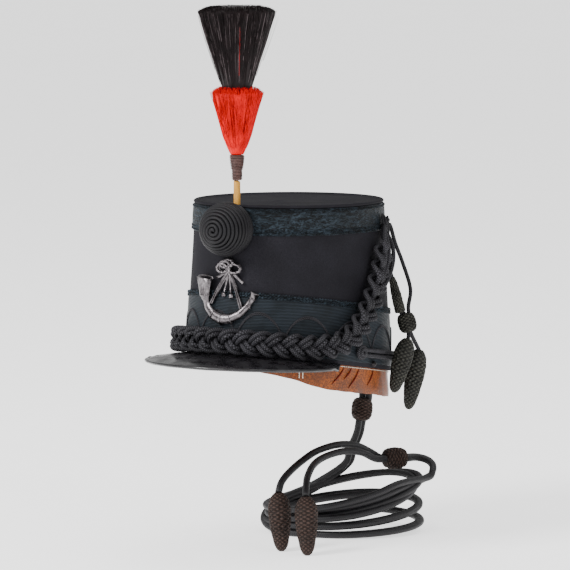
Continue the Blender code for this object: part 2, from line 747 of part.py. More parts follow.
def make_knots(cord):
    """The knot that gathers the plait's strands on each side."""
    for side in KNOT_ANGLES:
        tube(f"side_knot_{side}", knot_points(side), KNOT_CORD, cord, sides=1, closed=True)


def make_rim_cords(cord):
    """Two cords side by side round the back of the rim."""
    off = 2 * GAP + LACE + RIM_CORD_RADIUS
    first, last = RIM_CORD_SPAN
    for name, rise in zip(("rim_cord_lower", "rim_cord_upper"), RIM_CORD_RISES):
        points = [above_rim(first + (last - first) * i / RIM_CORD_POINTS, rise, off)
                  for i in range(RIM_CORD_POINTS + 1)]
        tube(name, points, RIM_CORD_RADIUS, cord, sides=1)


def acorn(name, head, tip, radius, material):
    """A netted acorn between two points."""
    axis = head - tip
    length = axis.length
    rows = [(length * (1 - share), radius * part) for share, part in ACORN]
    turned(name, [(length, 0.0), *rows, (0.0, radius * 0.2), (0.0, 0.0)], ACORN_STEPS, material, tip, axis)


def slide(name, middle, axis, radius, length, material):
    """A netted slide round the cords."""
    axis = Vector(axis).normalized()
    foot = Vector(middle) - axis * length / 2
    rows = [(length * (1 - share), radius * part) for share, part in SLIDE]
    turned(name, [(length, 0.0), *rows, (0.0, 0.0)], SLIDE_STEPS, material, foot, axis)


def make_tassels(cord, net):
    """The cords, sleeve, slide and two acorns that hang from the left knot."""
    head = crown_point(*SLEEVE_HEAD)
    foot = crown_point(*SLEEVE_FOOT)
    axis = head - foot
    sleeve = sized(SLEEVE, axis.length, SLEEVE_RADIUS)
    turned("tassel_sleeve", [(axis.length, 0.0), *sleeve, (0.0, 0.0)], ACORN_STEPS, net, foot, axis)
    slide_middle = crown_point(*TASSEL_SLIDE_AT)
    slide_axis = Vector(TASSEL_SLIDE_AXIS).normalized()
    slide("tassel_slide", slide_middle, slide_axis, TASSEL_SLIDE_RADIUS, TASSEL_SLIDE_LENGTH, net)
    half = TASSEL_SLIDE_LENGTH / 2
    knot_foot = min(knot_points("left"), key=lambda point: point.z) - Vector((0, 0, KNOT_CORD))
    up = Vector((0.0, 0.0, 1.0))
    inner = cord_route([knot_foot.lerp(head, 0.5)], TASSEL_LINE_STEP, (knot_foot, -up),
                       (head, axis.normalized()))
    tube("tassel_cord_inner", inner, TASSEL_LINE_RADIUS, cord)
    for number, (top, bottom) in enumerate(HANG_ACORNS, start=1):
        top, bottom = crown_point(*top), crown_point(*bottom)
        acorn(f"hanging_acorn_{number}", top, bottom, HANG_ACORN_RADIUS, net)
        out = (top - bottom).normalized()
        leave = slide_middle - slide_axis * half + Vector((0.0, (2 * number - 3) * TAIL_SPREAD, 0.0))
        tail = cord_route([leave.lerp(top, 0.5)], TASSEL_LINE_STEP / 2, (leave, -slide_axis), (top, out))
        tube(f"tassel_tail_{number}", tail, TASSEL_LINE_RADIUS, cord)
    knot_back = max(knot_points("left"), key=lambda point: point.y) + Vector((0, KNOT_CORD, 0))
    back = Vector((0.0, 1.0, 0.0))
    outwards = facing(slide_middle)
    outwards -= slide_axis * outwards.dot(slide_axis)
    slide_top = slide_middle + slide_axis * half + outwards.normalized() * OUTER_CORD_SEAT
    outer = cord_route([crown_point(*place) for place in OUTER_CORD], TASSEL_LINE_STEP,
                       (knot_back, back), (slide_top, slide_axis))
    tube("tassel_cord_outer", outer, TASSEL_LINE_RADIUS, cord)


def make_body_lines(cord, net, metal):
    """The ring, the doubled cord with its two slides, the coil and the two acorns."""
    ring = []
    for i in range(RING_STEPS):
        turn = 2 * math.pi * i / RING_STEPS
        place = crown_point(180, RING_HEIGHT + RING_RADIUS * math.sin(turn), RING_WIRE + GAP)
        ring.append(place + Vector((RING_RADIUS * math.cos(turn), 0.0, 0.0)))
    tube("back_ring", ring, RING_WIRE, metal, sides=1, closed=True)
    slide_axis = Vector(LOWER_SLIDE_AXIS).normalized()
    slide_across = slide_axis.cross(Vector((0, 0, 1))).normalized()
    upper_axis = Vector(UPPER_SLIDE_AXIS).normalized()
    upper_foot = Vector(UPPER_SLIDE) * MM - upper_axis * UPPER_SLIDE_LENGTH / 2
    lower_slide = Vector((*LOWER_SLIDE, 0.0)) * MM
    lower_slide.z = FLOOR + COIL_HEIGHT + LOWER_SLIDE_RADIUS + GAP
    slide_face = lower_slide + slide_axis * LOWER_SLIDE_LENGTH / 2
    for number, side in ((1, -1), (2, 1)):
        apart = Vector((side * LINE_SPREAD, 0, 0))
        back = []
        for across, height, off in LINE_BACK:
            place = crown_point(180, height * MM, off * MM)
            back.append(place + Vector((across * MM, 0, 0)) + apart)
        tube(f"line_back_{number}", through(back, LINE_STEP), LINE_RADIUS, cord)
        behind = upper_axis.cross(Vector((1.0, 0.0, 0.0))).normalized() * side * LINE_SPREAD
        foot = Vector((LINE_FOOT[0] * MM, LINE_FOOT[1] * MM, FLOOR + COIL_HEIGHT)) + behind
        foot.z = FLOOR + COIL_HEIGHT
        drop = cord_route([point + behind for point in millimetres(LINE_DROP)], LINE_STEP,
                          (upper_foot + behind, -upper_axis), (foot, Vector((0.0, 0.0, 1.0))))
        tube(f"line_drop_{number}", drop, LINE_RADIUS, cord)
        *end, head = millimetres(LINE_ENDS[number - 1])
        across, ahead = LINE_ACORN_TIPS[number - 1]
        tip = Vector((across * MM, ahead * MM, FLOOR))
        leaves = (slide_face - slide_across * side * LINE_SPREAD, slide_axis)
        end = cord_route(end, LINE_STEP, leaves, (head, (head - tip).normalized()))
        tube(f"line_end_{number}", end, LINE_RADIUS, cord)
        acorn(f"line_acorn_{number}", head, tip, LINE_ACORN_RADIUS, net)
    slide("line_slide_upper", Vector(UPPER_SLIDE) * MM, UPPER_SLIDE_AXIS, UPPER_SLIDE_RADIUS,
          UPPER_SLIDE_LENGTH, net)
    slide("line_slide_lower", lower_slide, LOWER_SLIDE_AXIS, LOWER_SLIDE_RADIUS, LOWER_SLIDE_LENGTH, net)


def make_coil(cord):
    """The outer shape of the coiled lines, an oval ring on the floor."""
    turn = math.radians(COIL_TURN)
    long_way = Vector((math.cos(turn), math.sin(turn), 0))
    wide_way = Vector((-math.sin(turn), math.cos(turn), 0))
    middle = Vector((COIL_AT[0] * MM, COIL_AT[1] * MM, FLOOR))
    section = [(0.0, 0.2), (0.2, 0.0), (0.8, 0.0), (1.0, 0.2), (1.0, 0.8), (0.8, 1.0), (0.2, 1.0),
               (0.0, 0.8)]  # share of the way in, share of the height
    rows = []
    for inward, up in section:
        row = []
        for i in range(COIL_STEPS):
            angle = 2 * math.pi * i / COIL_STEPS
            long = COIL_HALF_LONG - inward * COIL_THICK
            wide = COIL_HALF_WIDE - inward * COIL_THICK
            row.append(middle + long_way * long * math.cos(angle) + wide_way * wide * math.sin(angle)
                       + Vector((0, 0, up * COIL_HEIGHT)))
        rows.append(row)
    add_part("line_coil", skin("line_coil", rows, closed_round=True), cord)


def main():
    """Builds the shako from the crown outwards."""
    clear_scene()
    cloth = finish("black_cloth", (0.012, 0.012, 0.016), 0.9)
    lace = finish("mohair_lace", (0.012, 0.018, 0.024), 0.75)
    patent = finish("patent_leather", (0.015, 0.015, 0.016), 0.25)
    tan = finish("tan_leather", (0.45, 0.19, 0.05), 0.55)
    cord = finish("black_cord", (0.018, 0.018, 0.021), 0.7)
    net = finish("netted_silk", (0.05, 0.035, 0.028), 0.7)
    bronze = finish("blackened_bronze", (0.18, 0.16, 0.15), 0.4, 0.9)
    wood = finish("cane", (0.62, 0.4, 0.14), 0.5)
    red = finish("red_horsehair", (0.6, 0.015, 0.012), 0.5)
    black = finish("black_horsehair", (0.02, 0.013, 0.012), 0.5)

    make_crown(cloth)
    make_bands(lace)
    make_sweatband(tan)
    make_peak(patent, bronze)
    make_boss(cord)
    make_badge(bronze)
    make_plume(wood, net, red, black)
    make_plait(cord)
    make_knots(cord)
    make_rim_cords(cord)
    make_tassels(cord, net)
    make_body_lines(cord, net, bronze)
    make_coil(cord)


main()
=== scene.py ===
"""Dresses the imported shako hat: cloth, lace, leather, braid, netting, metal and hair round the CAD solids."""

import logging
import math
import random
from dataclasses import dataclass, field
from enum import Enum, auto
from operator import attrgetter
from typing import Callable, Sequence

import bmesh
import bpy
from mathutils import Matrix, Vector


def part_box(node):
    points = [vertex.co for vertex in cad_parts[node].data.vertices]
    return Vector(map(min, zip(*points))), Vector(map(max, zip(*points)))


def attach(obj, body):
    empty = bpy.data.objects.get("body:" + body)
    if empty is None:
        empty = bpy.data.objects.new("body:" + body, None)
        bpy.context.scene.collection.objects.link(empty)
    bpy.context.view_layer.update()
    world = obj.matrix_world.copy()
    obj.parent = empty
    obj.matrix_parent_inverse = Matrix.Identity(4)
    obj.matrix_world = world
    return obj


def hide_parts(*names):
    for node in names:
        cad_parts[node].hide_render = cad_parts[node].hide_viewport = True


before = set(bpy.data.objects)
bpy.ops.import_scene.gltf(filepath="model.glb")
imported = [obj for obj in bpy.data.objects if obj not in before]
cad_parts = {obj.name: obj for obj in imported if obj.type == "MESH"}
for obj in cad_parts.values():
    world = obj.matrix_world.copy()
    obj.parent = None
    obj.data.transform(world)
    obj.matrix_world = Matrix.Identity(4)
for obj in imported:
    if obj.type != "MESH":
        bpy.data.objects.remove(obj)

LOG = logging.getLogger("shako")
MM = 0.001
BODY = "root"
# The gap that the CAD leaves between pieces, the lace's thickness and the floor's height, in millimetres.
GAP = 0.3
LACE = 1.0
FLOOR = -152.0

# Pairs of place and value, points of a route, and a radius or a relief from two shares.
Profile = tuple[tuple[float, float], ...]
Route = tuple[tuple[float, float, float], ...]
Relief = Callable[[float, float], float]


# Finishes

def linear(code: str) -> tuple[float, float, float, float]:
    """Turns an sRGB hex colour into linear values.

    Args:
        code: the colour, as #rrggbb.

    Returns:
        Red, green, blue and alpha.
    """
    parts = [int(code[place:place + 2], 16) / 255 for place in (1, 3, 5)]
    values = [part / 12.92 if part <= 0.04045 else ((part + 0.055) / 1.055) ** 2.4 for part in parts]
    return (values[0], values[1], values[2], 1.0)


def add(tree: bpy.types.NodeTree, kind: str, settings: dict[str, object] | None = None,
        **inputs: object) -> bpy.types.Node:
    """Adds a node with its settings and links.

    Args:
        tree: the tree that the node joins.
        kind: the node's type.
        settings: the node's own properties by name.
        inputs: a value or a socket for each input, by its name with underscores or as i and its number.

    Returns:
        The new node.
    """
    node = tree.nodes.new(kind)
    for name, value in (settings or {}).items():
        setattr(node, name, value)
    for name, value in inputs.items():
        numbered = name[1:].isdigit()
        socket = node.inputs[int(name[1:]) if numbered else name.replace("_", " ")]
        if isinstance(value, bpy.types.NodeSocket):
            tree.links.new(value, socket)
        else:
            socket.default_value = value
    return node


class Pattern(Enum):
    """How a surface was made, which decides its relief."""

    NAP = auto()
    LEAVES = auto()
    RIBS = auto()
    BRAID = auto()
    GRAIN = auto()
    SCUFFS = auto()
    CAST = auto()
    FIBRE = auto()


# How a noise is stretched along each axis, and its detail where that isn't the usual one.
USUAL_DETAIL = 3.0
STRETCH = {Pattern.FIBRE: (1.0, 1.0, 0.12), Pattern.SCUFFS: (0.5, 1.0, 1.0)}
DETAIL = {Pattern.SCUFFS: 6.0, Pattern.CAST: 5.0}


@dataclass(frozen=True)
class Finish:
    """A finish, drawn from two colours, a relief of a real size and slow stains.

    The relief's size and depth and the stains' size are in millimetres. Around counts a braid's lozenges
    round its cord. Gloss is the specular level, of which a metal keeps the default.
    """

    name: str
    slot: str
    light: str
    dark: str
    pattern: Pattern
    size: float
    depth: float
    roughness: tuple[float, float] = (0.6, 0.8)
    stain: float = 25.0
    metallic: float = 0.0
    coat: float = 0.0
    around: float = 4.0
    gloss: float = 0.15

    def braid(self, tree: bpy.types.NodeTree) -> bpy.types.NodeSocket:
        """Draws a braid's lozenges from the piece's UV map, which runs in millimetres along the cord.

        Args:
            tree: the material's tree.

        Returns:
            The relief's height, from 0 to 1.
        """
        split = add(tree, "ShaderNodeSeparateXYZ", Vector=add(tree, "ShaderNodeUVMap").outputs["UV"]).outputs
        across = add(tree, "ShaderNodeMath", {"operation": "MULTIPLY"}, i0=split["X"],
                     i1=self.around * math.pi)
        along = add(tree, "ShaderNodeMath", {"operation": "MULTIPLY"}, i0=split["Y"], i1=math.pi / self.size)
        waves = []
        for way in ("ADD", "SUBTRACT"):
            slant = add(tree, "ShaderNodeMath", {"operation": way}, i0=across.outputs[0], i1=along.outputs[0])
            waves.append(add(tree, "ShaderNodeMath", {"operation": "SINE"}, i0=slant.outputs[0]).outputs[0])
        both = add(tree, "ShaderNodeMath", {"operation": "MULTIPLY"}, i0=waves[0], i1=waves[1])
        return add(tree, "ShaderNodeMath", {"operation": "ABSOLUTE"}, i0=both.outputs[0]).outputs[0]

    def relief(self, tree: bpy.types.NodeTree, place: bpy.types.NodeSocket) -> bpy.types.NodeSocket:
        """Draws the finish's relief.

        Args:
            tree: the material's tree.
            place: the Object coordinates.

        Returns:
            The relief's height, from 0 to 1.
        """
        per_metre = 1000 / self.size
        if self.pattern is Pattern.RIBS:
            # A wave's period is 0.314 m divided by its scale.
            ribs = add(tree, "ShaderNodeTexWave", {"bands_direction": "Z"}, Vector=place,
                       Scale=314 / self.size, Distortion=1.2, Detail=2.0)
            return ribs.outputs["Fac"]
        if self.pattern is Pattern.LEAVES:
            # The leaves lie along the band, and the map range leaves only their tops raised.
            flat = add(tree, "ShaderNodeMapping", Vector=place, Scale=(1.0, 1.0, 3.2)).outputs[0]
            veins = add(tree, "ShaderNodeTexNoise", Vector=flat, Scale=per_metre, Detail=5.0, Roughness=0.65,
                        Distortion=1.5)
            return add(tree, "ShaderNodeMapRange", Value=veins.outputs["Fac"], i1=0.42, i2=0.62, i3=0.0,
                       i4=1.0).outputs[0]
        if self.pattern is Pattern.BRAID:
            return self.braid(tree)
        if self.pattern is Pattern.GRAIN:
            cells = add(tree, "ShaderNodeTexVoronoi", {"feature": "F1"}, Vector=place, Scale=per_metre)
            return cells.outputs["Distance"]
        stretched = place
        if self.pattern in STRETCH:
            stretched = add(tree, "ShaderNodeMapping", Vector=place, Scale=STRETCH[self.pattern]).outputs[0]
        noise = add(tree, "ShaderNodeTexNoise", Vector=stretched, Scale=per_metre,
                    Detail=DETAIL.get(self.pattern, USUAL_DETAIL))
        return noise.outputs["Fac"]

    def material(self) -> bpy.types.Material:
        """Gives the finish's material, made once.

        Returns:
            The material.
        """
        if self.name in bpy.data.materials:
            return bpy.data.materials[self.name]
        made = bpy.data.materials.new(self.name)
        made.use_nodes = True
        tree = made.node_tree
        shader = tree.nodes["Principled BSDF"]
        place = add(tree, "ShaderNodeTexCoord").outputs["Object"]
        height = self.relief(tree, place)
        stains = add(tree, "ShaderNodeTexNoise", Vector=place, Scale=1000 / self.stain,
                     Detail=USUAL_DETAIL).outputs["Fac"]
        # The light colour shows where the relief is high and unstained, so the relief's hollows take the dark
        # colour: painted shade on the braided cords and the ribbed lace, the dark core on the netting and
        # blackening on cast metal; the raised oak leaves are painted lighter as painted sheen.
        blend = add(tree, "ShaderNodeMath", {"operation": "MULTIPLY", "use_clamp": True}, i0=height,
                    i1=stains)
        share = add(tree, "ShaderNodeMapRange", Value=blend.outputs[0], i1=0.05, i2=0.5, i3=0.0, i4=1.0)
        colour = add(tree, "ShaderNodeMix", {"data_type": "RGBA"}, i0=share.outputs[0], i6=linear(self.dark),
                     i7=linear(self.light))
        tree.links.new(colour.outputs[2], shader.inputs["Base Color"])
        rough = add(tree, "ShaderNodeMapRange", Value=stains, i1=0.3, i2=0.7, i3=self.roughness[0],
                    i4=self.roughness[1])
        tree.links.new(rough.outputs[0], shader.inputs["Roughness"])
        bump = add(tree, "ShaderNodeBump", Height=height, Strength=1.0, Distance=self.depth * MM)
        tree.links.new(bump.outputs[0], shader.inputs["Normal"])
        shader.inputs["Metallic"].default_value = self.metallic
        shader.inputs["Coat Weight"].default_value = self.coat
        if not self.metallic:
            shader.inputs["Specular IOR Level"].default_value = self.gloss
        return made


# Napped wool drinks the light: nearly black, with hardly any gloss.
WOOL = Finish("black wool cloth", "cloth", "#27262b", "#100f13", Pattern.NAP, size=0.8, depth=0.15,
              roughness=(0.75, 0.92), stain=30, gloss=0.10)
# Mohair woven in oak leaves: the raised leaves are painted lighter blue-black as painted sheen, over a dull
# ground.
OAK_LACE = Finish("oak leaf mohair lace", "lace", "#323d46", "#06080a", Pattern.LEAVES, size=5.5, depth=0.6,
                  roughness=(0.45, 0.65), stain=40, gloss=0.14)
# Real ribs of this lace are 0.6 mm apart, drawn at 1.2 mm so that they show.
# The dark colour between the ribs is painted shade.
RIB_LACE = Finish("ribbed mohair lace", "lace", "#2b3239", "#07090b", Pattern.RIBS, size=1.2, depth=0.3,
                  roughness=(0.45, 0.65), stain=12, gloss=0.14)
# Varnished hide: a hard gloss with dull rubbed places.
PATENT = Finish("black patent leather", "patent_leather", "#242225", "#070608", Pattern.SCUFFS, size=7,
                depth=0.05, roughness=(0.08, 0.5), stain=11, coat=0.12, gloss=0.45)
# Dressed sheepskin: pebbled, polished by wear, darkened in patches and red-brown in its creases.
SHEEPSKIN = Finish("tan sheepskin", "tan_leather", "#94490b", "#3c1b05", Pattern.GRAIN, size=1.3, depth=0.12,
                   roughness=(0.38, 0.6), stain=14, gloss=0.35)
CREASE = Finish("darkened crease", "tan_leather", "#7a2412", "#3a0f08", Pattern.NAP, size=2, depth=0.05)
# Waxed linen: pale, dull stitches.
LINEN = Finish("linen thread", "tan_leather", "#e8e2d6", "#b7ab98", Pattern.NAP, size=0.5, depth=0.05)
# Worsted braided over a core: small lozenges, with painted shade in the clefts between them.
BRAID = Finish("braided worsted cord", "cord", "#434247", "#09080a", Pattern.BRAID, size=1.7, depth=0.2,
               roughness=(0.5, 0.75), stain=40, around=3)
FINE_BRAID = Finish("fine braided cord", "cord", "#38373b", "#09080a", Pattern.BRAID, size=1.5, depth=0.15,
                    roughness=(0.5, 0.75), stain=40, around=3)
# The body lines are braided closer and are smooth from use.
LINE_BRAID = Finish("close braided line", "cord", "#29282b", "#0a090b", Pattern.BRAID, size=1.6, depth=0.12,
                    roughness=(0.4, 0.6), stain=40, around=5, gloss=0.3)
# The boss's cord is drawn tight and is nearly smooth, dark in the grooves between its turns.
WOUND = Finish("wound worsted cord", "cord", "#1f1e21", "#070608", Pattern.NAP, size=0.8, depth=0.1,
               roughness=(0.4, 0.6), stain=20, gloss=0.2)
# Silk net over a dark wooden core: faded to brown, or greenish where it hung in the shade.
NET = Finish("faded silk netting", "netting", "#44352f", "#1c1411", Pattern.BRAID, size=3.4, depth=0.7,
             roughness=(0.5, 0.7), stain=12, around=9)
GREEN_NET = Finish("greenish silk netting", "netting", "#403f39", "#141412", Pattern.BRAID, size=3.4,
                   depth=0.7, roughness=(0.5, 0.7), stain=12, around=9)
# Lacquered thread: brown with a slight bronze shine.
FERRULE_THREAD = Finish("bronze ferrule thread", "netting", "#70504a", "#2e1c19", Pattern.NAP, size=1.2,
                        depth=0.1, roughness=(0.4, 0.6), stain=5, gloss=0.4)
# Cast metal once blackened: grey and bright where rubbed, dark in its hollows.
CASTING = Finish("rubbed cast metal", "bronze", "#989295", "#1c191b", Pattern.CAST, size=2.2, depth=0.15,
                 roughness=(0.22, 0.45), stain=6, metallic=1.0)
BLACKENED = Finish("blackened stud metal", "bronze", "#4a4748", "#171516", Pattern.CAST, size=2.2, depth=0.1,
                   roughness=(0.3, 0.5), stain=6, metallic=1.0)
# Cane: pale, glossy skin with long fibres.
CANE = Finish("yellow cane", "cane", "#d9a550", "#a8752c", Pattern.FIBRE, size=1.0, depth=0.05,
              roughness=(0.35, 0.5), stain=12)
# Dyed horsehair: fine streaks, with a few hairs painted pale as a painted highlight and a few painted dark red
# as painted shade. Real hairs are 0.2 mm, drawn at 0.9 mm so that they show.
RED_HORSEHAIR = Finish("red horsehair", "red_hair", "#fa0a12", "#b00306", Pattern.FIBRE, size=0.9, depth=0.2,
                       roughness=(0.4, 0.55), stain=9, gloss=0.08)
# Painted shade: darker red hairs laid among the red ones.
SHADED_RED = Finish("shaded red horsehair", "red_hair", "#8a0400", "#5a0200", Pattern.FIBRE, size=0.9,
                    depth=0.2, roughness=(0.4, 0.55), stain=9, gloss=0.08)
BLACK_HORSEHAIR = Finish("black horsehair", "black_hair", "#241a1b", "#080506", Pattern.FIBRE, size=0.9,
                         depth=0.2, roughness=(0.35, 0.5), stain=9, gloss=0.14)
# Painted highlight: pale grey hairs laid among the black ones.
HIGHLIGHT_PAINTED_HAIR = Finish("black horsehair painted highlight", "black_hair", "#7d7274", "#4c4244", Pattern.FIBRE, size=0.9,
                      depth=0.2, roughness=(0.3, 0.45), stain=9)
# Matt studio paper, without any relief.
PAPER = Finish("pale studio paper", "cloth", "#ffffff", "#fafafa", Pattern.NAP, size=40, depth=0.0,
               roughness=(0.9, 0.95), stain=900)


# Meshes

def placed(name: str, data: bpy.types.ID) -> bpy.types.Object:
    """Makes an object at the origin and puts it in the scene.

    Args:
        name: its name.
        data: its mesh, light or camera.

    Returns:
        The object.
    """
    thing = bpy.data.objects.new(name, data)
    bpy.context.scene.collection.objects.link(thing)
    return thing


def settle(piece: bpy.types.Object, modifier: bpy.types.Modifier) -> None:
    """Turns what a modifier makes into the piece's plain mesh, and removes the modifier.

    Args:
        piece: the piece.
        modifier: its only modifier.
    """
    rough = piece.data
    fine = bpy.data.meshes.new_from_object(piece.evaluated_get(bpy.context.evaluated_depsgraph_get()))
    piece.modifiers.remove(modifier)
    piece.data = fine
    bpy.data.meshes.remove(rough)


def circle(count: int) -> list[float]:
    """Gives evenly spaced turns in radians, all the way round."""
    return [math.tau * at / count for at in range(count)]


def half_circle(count: int) -> list[float]:
    """Gives evenly spaced turns in radians, half the way round, with both ends."""
    return [math.pi * at / count for at in range(count + 1)]


def heading(path: Sequence[Vector], at: int, closed: bool = False) -> Vector:
    """Gives the direction of a path at one of its points.

    Args:
        path: the path.
        at: the point's number.
        closed: whether the path closes on itself.

    Returns:
        The direction, of length one.
    """
    if closed:
        way = path[(at + 1) % len(path)] - path[at - 1]
    else:
        way = path[min(at + 1, len(path) - 1)] - path[max(at - 1, 0)]
    return way.normalized()


def dress(piece: bpy.types.Object, finish: Finish, *nodes: str) -> bpy.types.Object:
    """Gives a piece its finish, its body and the CAD nodes that it stands for.

    Args:
        piece: the piece.
        finish: its finish.
        nodes: the nodes that it replaces.

    Returns:
        The same piece.
    """
    piece.data.materials.clear()
    piece.data.materials.append(finish.material())
    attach(piece, BODY)
    if nodes:
        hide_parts(*nodes)
    LOG.info("%s: %d faces", piece.name, len(piece.data.polygons))
    return piece


def through(points: Sequence[Vector], step: float) -> list[Vector]:
    """Draws a smooth line through points.

    Args:
        points: the points, in millimetres.
        step: the distance between the new points.

    Returns:
        Evenly spaced points, the given ends among them.
    """
    fine: list[Vector] = []
    for at in range(len(points) - 1):
        before = points[at - 1] if at else points[0] * 2 - points[1]
        after = points[at + 2] if at + 2 < len(points) else points[-1] * 2 - points[-2]
        start, end = points[at], points[at + 1]
        for part in range(12):
            share = part / 12
            fine.append(0.5 * (2 * start + (end - before) * share
                               + (2 * before - 5 * start + 4 * end - after) * share**2
                               + (3 * start - before - 3 * end + after) * share**3))
    fine.append(points[-1].copy())
    total = sum((b - a).length for a, b in zip(fine, fine[1:]))
    count = max(2, round(total / step))
    even = [fine[0]]
    gone, wanted = 0.0, total / count
    for start, end in zip(fine, fine[1:]):
        length = (end - start).length
        while gone + length >= wanted * len(even) - 1e-9 and len(even) < count:
            even.append(start.lerp(end, (wanted * len(even) - gone) / max(length, 1e-9)))
        gone += length
    even.append(fine[-1])
    return even


@dataclass
class Mesher:
    """Gathers faces with their UV places, in millimetres, and turns them into an object in metres."""

    points: list[Vector] = field(default_factory=list)
    faces: list[tuple[int, ...]] = field(default_factory=list)
    places: list[tuple[float, float]] = field(default_factory=list)

    def sheet(self, rows: list[list[Vector]], over: bool = False) -> None:
        """Adds a sheet of quads, whose rows are rings.

        Args:
            rows: the rows of points, all of one length.
            over: whether the last row joins the first.
        """
        first, wide, high = len(self.points), len(rows[0]), len(rows)
        self.points.extend(point for row in rows for point in row)
        lengths = [0.0]
        for low, up in zip(rows, rows[1:] + rows[:1]):
            lengths.append(lengths[-1] + (up[0] - low[0]).length)
        for row in range(high if over else high - 1):
            for column in range(wide):
                right, up = (column + 1) % wide, (row + 1) % high
                self.faces.append((first + row * wide + column, first + row * wide + right,
                                   first + up * wide + right, first + up * wide + column))
                low_u, high_u = column / wide, (column + 1) / wide
                self.places.extend([(low_u, lengths[row]), (high_u, lengths[row]), (high_u, lengths[row + 1]),
                                    (low_u, lengths[row + 1])])

    def cap(self, first: int, wide: int, middle: Vector, flip: bool) -> None:
        """Closes a ring of points with a fan.

        Args:
            first: the number of the ring's first point.
            wide: how many points it has.
            middle: the fan's middle.
            flip: whether the fan faces back along the rows.
        """
        self.points.append(middle)
        for column in range(wide):
            pair = (first + column, first + (column + 1) % wide)
            self.faces.append((*(reversed(pair) if flip else pair), len(self.points) - 1))
            self.places.extend([(0.0, 0.0)] * 3)

    def tube(self, path: Sequence[Vector], radius: float | Relief, sides: int = 10,
             closed: bool = False) -> None:
        """Adds a tube along a path.

        Args:
            path: the tube's middle line.
            radius: its radius, or a function of the share of the length and the share around.
            sides: the number of sides.
            closed: whether the path closes on itself.
        """
        count = len(path)
        rows = []
        # The first side lies towards this direction, along which no path starts.
        normal = Vector((0.31, 0.17, 0.93))
        for at in range(count):
            way = heading(path, at, closed)
            normal = (normal - way * normal.dot(way)).normalized()
            side = way.cross(normal)
            row = []
            for turn in range(sides):
                share = turn / sides
                reach = radius(at / (count - 1), share) if callable(radius) else radius
                out = normal * math.cos(share * math.tau) + side * math.sin(share * math.tau)
                row.append(path[at] + out * reach)
            rows.append(row)
        first = len(self.points)
        self.sheet(rows, over=closed)
        if not closed:
            self.cap(first, sides, path[0], True)
            self.cap(first + (count - 1) * sides, sides, path[-1], False)

    def turned(self, start: Vector, end: Vector, shares: Profile, radius: float, relief: Relief,
               rows: int = 56, sides: int = 72) -> None:
        """Adds a turned form between two points.

        Args:
            start: the middle of its first face.
            end: the middle of its last face.
            shares: its outline as shares of the length and of the radius.
            radius: its largest radius.
            relief: what is added to the radius, from the shares of the length and around.
            rows: the number of rows.
            sides: the number of sides.
        """
        def reach(share: float, around: float) -> float:
            """Gives the form's radius at a share of its length and a share around."""
            return outline(shares, share) * radius + relief(share, around)

        self.tube([start.lerp(end, row / rows) for row in range(rows + 1)], reach, sides)

    def finish(self, name: str, finish: Finish, *nodes: str) -> bpy.types.Object:
        """Makes the object, smooth, with its faces outwards.

        Args:
            name: the piece's name.
            finish: its finish.
            nodes: the nodes that it replaces.

        Returns:
            The piece.
        """
        mesh = bpy.data.meshes.new(name)
        mesh.from_pydata([point * MM for point in self.points], [], self.faces)
        layer = mesh.uv_layers.new(name="UVMap")
        layer.data.foreach_set("uv", [value for place in self.places for value in place])
        work = bmesh.new()
        work.from_mesh(mesh)
        bmesh.ops.recalc_face_normals(work, faces=work.faces)
        work.to_mesh(mesh)
        work.free()
        mesh.shade_smooth()
        return dress(placed(name, mesh), finish, *nodes)


def outline(shares: Profile, share: float) -> float:
    """Reads an outline between its points.

    Args:
        shares: pairs of place and value, the places rising.
        share: the place.

    Returns:
        The value there.
    """
    for (low, value), (high, following) in zip(shares, shares[1:]):
        if share <= high:
            return value + (following - value) * max(0.0, share - low) / (high - low)
    return shares[-1][1]


def refined(node: str, name: str, finish: Finish, levels: int,
            crumple: Callable[[Vector], float] | None = None, sharp: float = 35.0) -> bpy.types.Object:
    """Makes a smooth copy of a CAD node, its sharp edges kept.

    Args:
        node: the node, which the copy replaces.
        name: the copy's name.
        finish: its finish.
        levels: how often its faces are divided.
        crumple: how far a point moves along its normal, in millimetres, from its place in millimetres.
        sharp: the angle in degrees from which an edge stays sharp.

    Returns:
        The piece.
    """
    work = bmesh.new()
    work.from_mesh(bpy.data.objects[node].data)
    bmesh.ops.remove_doubles(work, verts=work.verts, dist=1e-6)
    bmesh.ops.join_triangles(work, faces=work.faces, angle_face_threshold=0.3, angle_shape_threshold=0.9)
    crease = work.edges.layers.float.new("crease_edge")
    for edge in work.edges:
        if len(edge.link_faces) == 2 and edge.calc_face_angle(0) > math.radians(sharp):
            edge[crease] = 0.9
    mesh = bpy.data.meshes.new(name)
    work.to_mesh(mesh)
    work.free()
    piece = placed(name, mesh)
    if levels:
        divided = piece.modifiers.new("divided", "SUBSURF")
        divided.levels = divided.render_levels = levels
        settle(piece, divided)
    if crumple:
        moved = [vertex.co + vertex.normal * crumple(vertex.co / MM) * MM for vertex in piece.data.vertices]
        for vertex, place in zip(piece.data.vertices, moved):
            vertex.co = place
    piece.data.shade_smooth()
    piece.data.set_sharp_from_angle(angle=math.radians(sharp))
    return dress(piece, finish, node)


class Winding(Enum):
    """What a tree of Geometry Nodes lays along lines."""

    STRANDS = "strands"
    BEADS = "beads"


